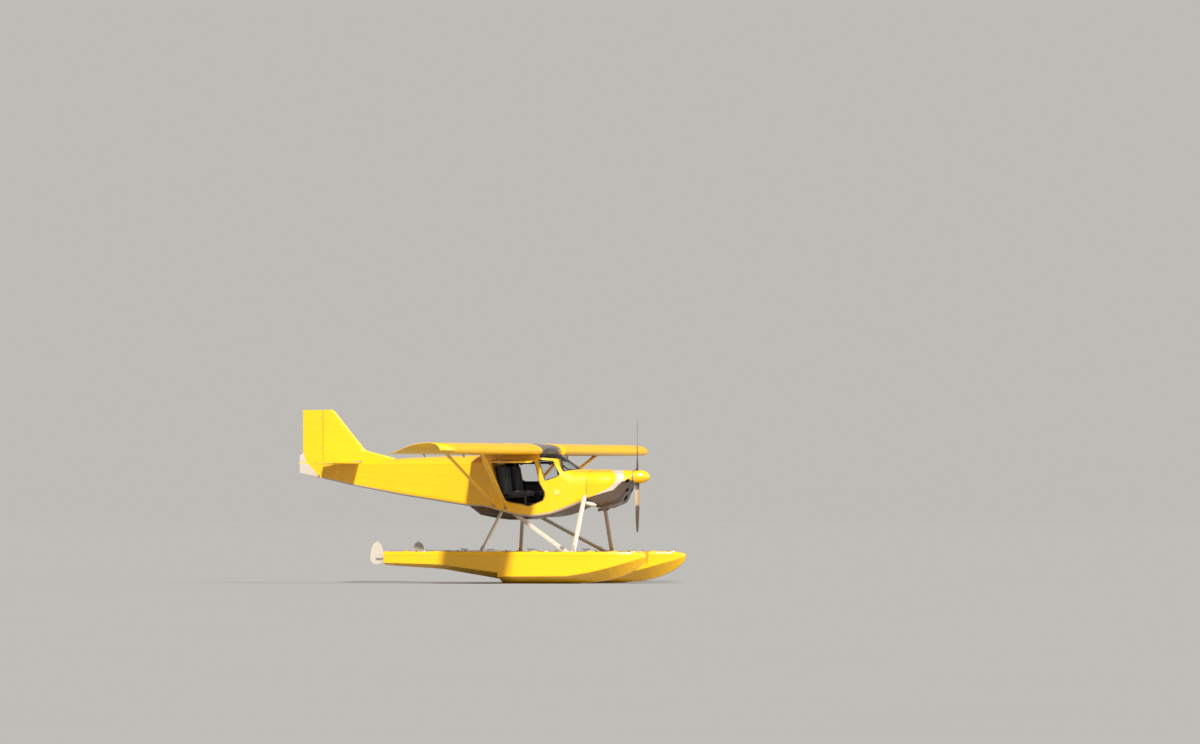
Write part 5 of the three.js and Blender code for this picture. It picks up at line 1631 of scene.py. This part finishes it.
class FLOATPLANE_OT_cabin(bpy.types.Operator):
    """Instruments, levers, pedals, tubes and mats of the cabin"""

    bl_idname = "floatplane.cabin"
    bl_label = "Cabin fittings"

    def execute(self, context):
        self.instruments()
        self.tubes()
        self.pedals()
        self.levers()
        return {"FINISHED"}

    def instruments(self):
        bezels = Shape()
        faces = Shape()
        marks = Shape()
        places = [(y, 1.700, 0.037) for y in (-0.34, -0.245, -0.15, 0.15, 0.245, 0.34)]
        places += [(y, 1.612, 0.033) for y in (-0.30, -0.215, 0.215, 0.30)] + [(0.0, 1.705, 0.040)]
        for y, z, radius in places:
            place = Vector((PANEL_X, y, z))
            bezels.lathe(place, (-1, 0, 0), [
                (radius + 0.006, -0.002), (radius + 0.006, 0.004), (radius + 0.002, 0.007),
                (radius - 0.003, 0.005), (radius - 0.004, 0.001)], 32)
            faces.lathe(place, (-1, 0, 0), [(radius - 0.003, -0.001), (radius - 0.003, 0.002), (0, 0.002)], 32)
            for k in range(11):
                turn = math.radians(-135 + 27 * k)
                across, up = math.sin(turn), math.cos(turn)
                a, b = [place + Vector((-0.0022, across * radius * r, up * radius * r)) for r in (0.76, 0.90)]
                marks.rod(a, b, 0.0009, 4)
            needle = math.radians(-70 + 400 * y)
            tip = Vector((-0.0035, math.sin(needle) * radius * 0.7, math.cos(needle) * radius * 0.7))
            marks.rod(place + Vector((-0.0035, 0, 0)) - tip * 0.2, place + tip, 0.0011, 5, 0.0005)
        make_piece("gauge_bezels", bezels, "cabin_trim", angle=50)
        make_piece("gauge_faces", faces, "gauge_face")
        make_piece("gauge_marks", marks, "gauge_mark")
        radio = Shape()
        for z in (1.632, 1.592):
            radio.box((1.552, -0.085, z - 0.017), (1.5605, 0.085, z + 0.017))
            for y in (-0.068, 0.068):
                radio.lathe((1.552, y, z), (-1, 0, 0), [
                    (0.009, 0), (0.009, 0.012), (0.007, 0.014), (0, 0.014)], 16)
        make_piece("radio_stack", radio, "cabin_trim", bevel=0.001)
        switches = Shape()
        for y in (-0.40, -0.375, 0.375, 0.40, -0.13, 0.13):
            switches.lathe((PANEL_X, y, 1.585), (-1, 0, 0), [
                (0.007, -0.001), (0.007, 0.003), (0.004, 0.004)], 10)
            switches.rod((1.558, y, 1.585), (1.542, y, 1.591), 0.0022, 8, 0.0030)
        make_piece("switches", switches, "brushed_alloy")
        roll = Shape().tube([(1.500, -0.39 + 0.06 * k, 1.767) for k in range(14)], 0.0105, 12)
        make_piece("glare_shield_roll", roll, "black_rubber")
        compass = Shape()
        compass.lathe((1.525, 0, 1.778), UP, [
            (0.020, -0.002), (0.020, 0.008), (0.012, 0.014), (0.026, 0.022), (0.030, 0.036), (0.026, 0.050),
            (0.012, 0.058), (0, 0.059)], 28)
        make_piece("compass", compass, "gauge_face", angle=60)

    def tubes(self):
        frame_tubes = Shape()
        for sign in SIDES.values():
            rail = ((0.245, 0.448), (0.70, 0.470), (1.19, 0.468))
            frame_tubes.tube([(x, sign * y, 1.992) for x, y in rail], 0.0115, 14)
            frame_tubes.tube([(0.250, sign * 0.430, 1.30), (0.250, sign * 0.430, 1.985)], 0.0115, 14)
            frame_tubes.tube([(0.252, sign * 0.425, 1.32), (0.252, -sign * 0.425, 1.975)], 0.0090, 12)
            post = ((1.19, 0.10, 2.004), (1.40, 0.22, 1.955), (1.66, 0.33, 1.792))
            frame_tubes.tube([(x, sign * y, z) for x, y, z in post], 0.0105, 14)
        for x in (0.30, 0.78, 1.185):
            frame_tubes.tube([(x, -0.455, 1.994), (x, 0.455, 1.994)], 0.0105, 14)
        make_piece("cabin_tubes", frame_tubes, "dark_steel")

    def pedals(self):
        pedals = Shape()
        for sign in SIDES.values():
            for offset in (-0.085, 0.085):
                y = sign * 0.24 + offset
                pedals.tube([(1.69, y, 1.362), (1.665, y, 1.43), (1.662, y, 1.50)], 0.008, 12)
                pedals.tube([(1.660, y - 0.045, 1.50), (1.660, y + 0.045, 1.50)], 0.0105, 14)
                pedals.tube([(1.664, y - 0.035, 1.452), (1.664, y + 0.035, 1.452)], 0.006, 12)
            pedals.tube([(1.690, sign * 0.24 - 0.15, 1.372), (1.690, sign * 0.24 + 0.15, 1.372)], 0.0095, 12)
        make_piece("rudder_pedals", pedals, "brushed_alloy")
        mats = Shape()
        for sign in SIDES.values():
            corners = ((1.00, 0.06), (1.42, 0.06), (1.42, 0.42), (1.00, 0.42))
            outline = rounded([(x, sign * y) for x, y in corners], 0.03)
            mats.rings([[(x, y, 1.282 + lift) for x, y in outline] for lift in (0.0003, 0.005)])
        make_piece("floor_mats", mats, "seat_cloth", bevel=0.0015)

    def levers(self):
        box = Shape()
        outline = [(0.74, 1.284), (1.02, 1.284), (1.00, 1.42), (0.90, 1.45), (0.78, 1.44)]
        box.rings([[(x, y, z) for x, z in outline] for y in (-0.032, 0.032)])
        make_piece("lever_box", box, "cabin_trim", bevel=0.006)
        levers = Shape()
        for y, lean in ((-0.016, 0.06), (0.016, 0.02)):
            levers.tube([(0.90, y, 1.43), (0.90 + lean, y, 1.51)], 0.004, 10)
            levers.lathe((0.90 + lean, y, 1.505), (lean, 0, 0.08), [
                (0.006, 0), (0.013, 0.006), (0.014, 0.016), (0.008, 0.024), (0, 0.025)], 18)
        make_piece("throttle_levers", levers, "black_rubber", angle=60)
        grips = Shape()
        for sign in SIDES.values():
            grips.lathe((1.1102, sign * 0.110, 1.575), (0.05, 0, 1), [
                (0.0165, 0), (0.0185, 0.010), (0.0170, 0.030), (0.0185, 0.050), (0.0170, 0.070),
                (0.0190, 0.095), (0.0150, 0.106), (0, 0.108)], 20)
        make_piece("stick_grips", grips, "black_rubber", angle=60)


PADS = {}


class FLOATPLANE_OT_seats(bpy.types.Operator):
    """Seat cushions and backs, blown up as sewn covers over foam"""

    bl_idname = "floatplane.seats"
    bl_label = "Seats"

    CUSHION = [(0.970, 1.4006), (0.970, 1.486), (0.596, 1.470), (0.596, 1.3843)]
    BACK = [(0.5063, 1.400), (0.590, 1.404), (0.560, 1.560), (0.506, 1.892), (0.4079, 1.892)]

    def execute(self, context):
        for side, sign in SIDES.items():
            middle = sign * SEAT_Y
            self.pad(f"seat_cushion_{side}", self.CUSHION, middle, UP, self.over_pan)
            self.pad(f"seat_back_{side}", self.BACK, middle, (1, 0, 0), self.over_plate)
        return {"FINISHED"}

    def over_pan(self, p):
        """Keeps a point of the cushion above the seat pan."""
        low = 1.380 + (p.x - 0.510) * 0.020 / 0.450 + 0.0012
        p.z = max(p.z, low)

    def over_plate(self, p):
        """Keeps a point of the back ahead of its plate."""
        front = 0.510 - (p.z - 1.380) * 0.2 + 0.0012
        p.x = max(p.x, front)

    def pad(self, name, outline, middle, face, hold):
        settings = bpy.context.scene.floatplane_fittings
        shrunk = rounded(inset(outline, 0.011), 0.030, 4)
        sides = ((-0.188, 0.020), (-0.178, 0.004), (-0.165, 0.0), (0.165, 0.0), (0.178, 0.004), (0.188, 0.020))
        rings = [[(x, middle + y, z) for x, z in inset(shrunk, margin)] for y, margin in sides]
        piece = make_piece(f"padded_{name}", Shape().rings(rings), "seat_cloth")
        remesh = piece.modifiers.new("Even faces", "REMESH")
        remesh.mode = "VOXEL"
        remesh.voxel_size = settings.pad_voxel
        self.apply(piece)
        start = [v.co.copy() for v in piece.data.vertices]
        self.blow_up(piece)
        limit = 0.012
        for vertex, before in zip(piece.data.vertices, start):
            moved = vertex.co - before
            if moved.length > limit:
                vertex.co = before + moved.normalized() * limit
            self.sew(vertex.co, middle, face)
            hold(vertex.co)
        smooth(piece.data, 60)
        fine = piece.modifiers.new("Fine", "SUBSURF")
        fine.levels = 1
        fine.render_levels = 1
        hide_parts(name)
        PADS[name] = piece
        self.piping(name, outline, middle)

    def apply(self, piece):
        """Bakes the piece's modifiers into its mesh."""
        bpy.context.view_layer.update()
        graph = bpy.context.evaluated_depsgraph_get()
        made = bpy.data.meshes.new_from_object(piece.evaluated_get(graph), depsgraph=graph)
        made.materials.clear()
        made.materials.append(finish("seat_cloth"))
        piece.modifiers.clear()
        piece.data = made

    def blow_up(self, piece):
        cloth = piece.modifiers.new("Cover", "CLOTH")
        cloth.settings.use_pressure = True
        cloth.settings.uniform_pressure_force = 4.0
        cloth.settings.effector_weights.gravity = 0.0
        cloth.settings.quality = 5
        scene = bpy.context.scene
        for step in range(1, 21):
            scene.frame_set(step)
        self.apply(piece)
        scene.frame_set(1)

    def sew(self, p, middle, face):
        """Draws the cover in along two sewn channels and one cross seam."""
        across = p.y - middle
        dip = sum(math.exp(-((across - line) / 0.0065) ** 2) for line in (-0.062, 0.062))
        along = p.x - 0.80 if face[2] else p.z - 1.70
        dip += 0.8 * math.exp(-(along / 0.0065) ** 2)
        top = p.z > 1.455 if face[2] else p.x > 0.545 - (p.z - 1.40) * 0.17
        if top:
            p -= Vector(face) * (0.0055 * min(dip, 1.2))

    def piping(self, name, outline, middle):
        cords = Shape()
        soft = rounded(inset(outline, 0.006), 0.028, 4)
        for y in (-0.186, 0.186):
            path = [(x, middle + y, z) for x, z in spaced(inset(soft, 0.006), 0.02, True)]
            cords.tube(path, 0.0035, 8, closed=True)
        make_piece(f"{name}_piping", cords, "black_rubber", slot="seat_cloth")


class FLOATPLANE_OT_belts(bpy.types.Operator):
    """Seat belts, lying on the seats"""

    bl_idname = "floatplane.belts"
    bl_label = "Seat belts"

    def execute(self, context):
        for side, sign in SIDES.items():
            middle = sign * SEAT_Y
            back = Skin(PADS[f"seat_back_{side}"])
            cushion = Skin(PADS[f"seat_cushion_{side}"])
            webs = Shape()
            for offset in (-0.085, 0.085):
                starts = [(1.1, middle + offset * (0.9 - 0.25 * k / 12), 1.850 - 0.030 * k) for k in range(13)]
                points, normals = back.trace(starts, (-1, 0, 0))
                over = [points[0] + Vector(shift) for shift in ((-0.070, 0, 0.045), (-0.020, 0, 0.040))]
                points = over + points
                normals = [Vector(UP), Vector((0.6, 0, 0.8))] + normals
                webs.strip(points, normals, 0.044, 0.0028, 0.0)
                starts = [(0.70, middle + offset * (1.94 - 1.55 * k / 8), 2.0) for k in range(9)]
                webs.strip(*cushion.trace(starts, DOWN), 0.044, 0.0032, 0.0)
            make_piece(f"seat_belts_{side}", webs, "belt_webbing")
            place, normal = cushion.meet((0.70, middle, 2.0), DOWN)
            buckle = Shape()
            plate(buckle, place + Vector((0, 0, 0.006)), normal, (0, 1, 0), (0.075, 0.055), 0.006)
            buckle.lathe(place + Vector((0, 0, 0.010)), normal, [(0.014, 0), (0.014, 0.005), (0, 0.006)], 20)
            make_piece(f"belt_buckle_{side}", buckle, "brushed_alloy", bevel=0.0008)
        return {"FINISHED"}


class FLOATPLANE_OT_stage(bpy.types.Operator):
    """Grey floor, light and camera"""

    bl_idname = "floatplane.stage"
    bl_label = "Set the stage"

    def execute(self, context):
        stage = context.scene.floatplane_stage
        scene = context.scene
        scene.view_settings.view_transform = "Standard"
        self.make_floor(stage)
        self.make_light(scene, stage)
        self.make_camera(scene, stage)
        return {"FINISHED"}

    def make_floor(self, stage):
        half = stage.floor_half
        mesh = bpy.data.meshes.new("studio_floor")
        corners = [(-half, -half), (half, -half), (half, half), (-half, half)]
        mesh.from_pydata([(x, y, -0.001) for x, y in corners], [], [(0, 1, 2, 3)])
        floor = bpy.data.objects.new("studio_floor", mesh)
        made = Finish("studio_floor", FLOOR_GREY, 0.95)
        made.set("Specular IOR Level", 0.0)
        mesh.materials.append(made.done(made.tone((*FLOOR_GREY, 1.0), made.noise(0.4, 3.0), 0.99, 1.01)))
        bpy.context.scene.collection.objects.link(floor)

    def make_light(self, scene, stage):
        """A pale band round the horizon under a darker ceiling, a key light and a broad fill."""
        world = bpy.data.worlds.new("studio_world")
        world.use_nodes = True
        nodes, links = world.node_tree.nodes, world.node_tree.links
        place = nodes.new("ShaderNodeTexCoord")
        split = nodes.new("ShaderNodeSeparateXYZ")
        rise = nodes.new("ShaderNodeMapRange")
        colour = nodes.new("ShaderNodeMix")
        colour.data_type = "RGBA"
        rise.inputs["From Min"].default_value = 0.06
        rise.inputs["From Max"].default_value = 0.40
        colour.inputs[6].default_value = (1.0, 0.965, 0.915, 1.0)
        colour.inputs[7].default_value = (0.42, 0.41, 0.40, 1.0)
        links.new(place.outputs["Generated"], split.inputs[0])
        links.new(split.outputs["Z"], rise.inputs["Value"])
        links.new(rise.outputs[0], colour.inputs[0])
        links.new(colour.outputs[2], nodes["Background"].inputs["Color"])
        nodes["Background"].inputs["Strength"].default_value = stage.world_strength
        scene.world = world
        for name, strength, spread, aim, colour in (
            ("key_sun", stage.key_strength, 4, (-0.16, 1.15, -0.92), (1.0, 0.965, 0.90)),
            ("fill_sun", stage.key_strength * 0.50, 70, (-1.0, 0.05, -0.45), (1.0, 0.97, 0.93)),
        ):
            lamp = bpy.data.lights.new(name, "SUN")
            lamp.energy = strength
            lamp.angle = math.radians(spread)
            lamp.color = colour
            sun = bpy.data.objects.new(name, lamp)
            sun.rotation_mode = "QUATERNION"
            sun.rotation_quaternion = Vector(aim).to_track_quat("-Z", "Y")
            sun.location = (0, 0, 12)
            scene.collection.objects.link(sun)

    def make_camera(self, scene, stage):
        lens = bpy.data.cameras.new("studio_camera")
        lens.lens = stage.lens
        lens.sensor_width = 36.0
        lens.clip_start = 1.0
        lens.clip_end = 3000.0
        camera = bpy.data.objects.new("studio_camera", lens)
        place = Vector(stage.camera_place)
        camera.location = place
        camera.rotation_mode = "QUATERNION"
        camera.rotation_quaternion = (Vector(stage.camera_aim) - place).to_track_quat("-Z", "Y")
        scene.collection.objects.link(camera)
        scene.camera = camera


class FLOATPLANE_PT_panel(bpy.types.Panel):
    """Lists the floatplane's settings and steps"""

    bl_label = "Floatplane"
    bl_idname = "FLOATPLANE_PT_panel"
    bl_space_type = "VIEW_3D"
    bl_region_type = "UI"
    bl_category = "Floatplane"

    def draw(self, context):
        for group in GROUPS:
            settings = getattr(context.scene, group)
            for name in settings.bl_rna.properties.keys():
                if name not in ("rna_type", "name"):
                    self.layout.prop(settings, name)
        for step in STEPS:
            self.layout.operator(step.bl_idname)


GROUPS = {
    "floatplane_paint": PaintSettings,
    "floatplane_fittings": FittingSettings,
    "floatplane_stage": StageSettings,
}
STEPS = [
    FLOATPLANE_OT_stage, FLOATPLANE_OT_finishes, FLOATPLANE_OT_glazing, FLOATPLANE_OT_hull,
    FLOATPLANE_OT_cowl, FLOATPLANE_OT_propeller, FLOATPLANE_OT_wings, FLOATPLANE_OT_surfaces,
    FLOATPLANE_OT_tail, FLOATPLANE_OT_struts, FLOATPLANE_OT_floats, FLOATPLANE_OT_water_rudders,
    FLOATPLANE_OT_doors, FLOATPLANE_OT_cabin, FLOATPLANE_OT_seats, FLOATPLANE_OT_belts,
]
CLASSES = [*GROUPS.values(), *STEPS, FLOATPLANE_PT_panel]


def register():
    for each in CLASSES:
        bpy.utils.register_class(each)
    for name, group in GROUPS.items():
        setattr(bpy.types.Scene, name, bpy.props.PointerProperty(type=group))


def unregister():
    for name in GROUPS:
        delattr(bpy.types.Scene, name)
    for each in reversed(CLASSES):
        bpy.utils.unregister_class(each)


def main():
    register()
    for step in STEPS:
        category, name = step.bl_idname.split(".")
        getattr(getattr(bpy.ops, category), name)()


if __name__ == "__main__":
    main()
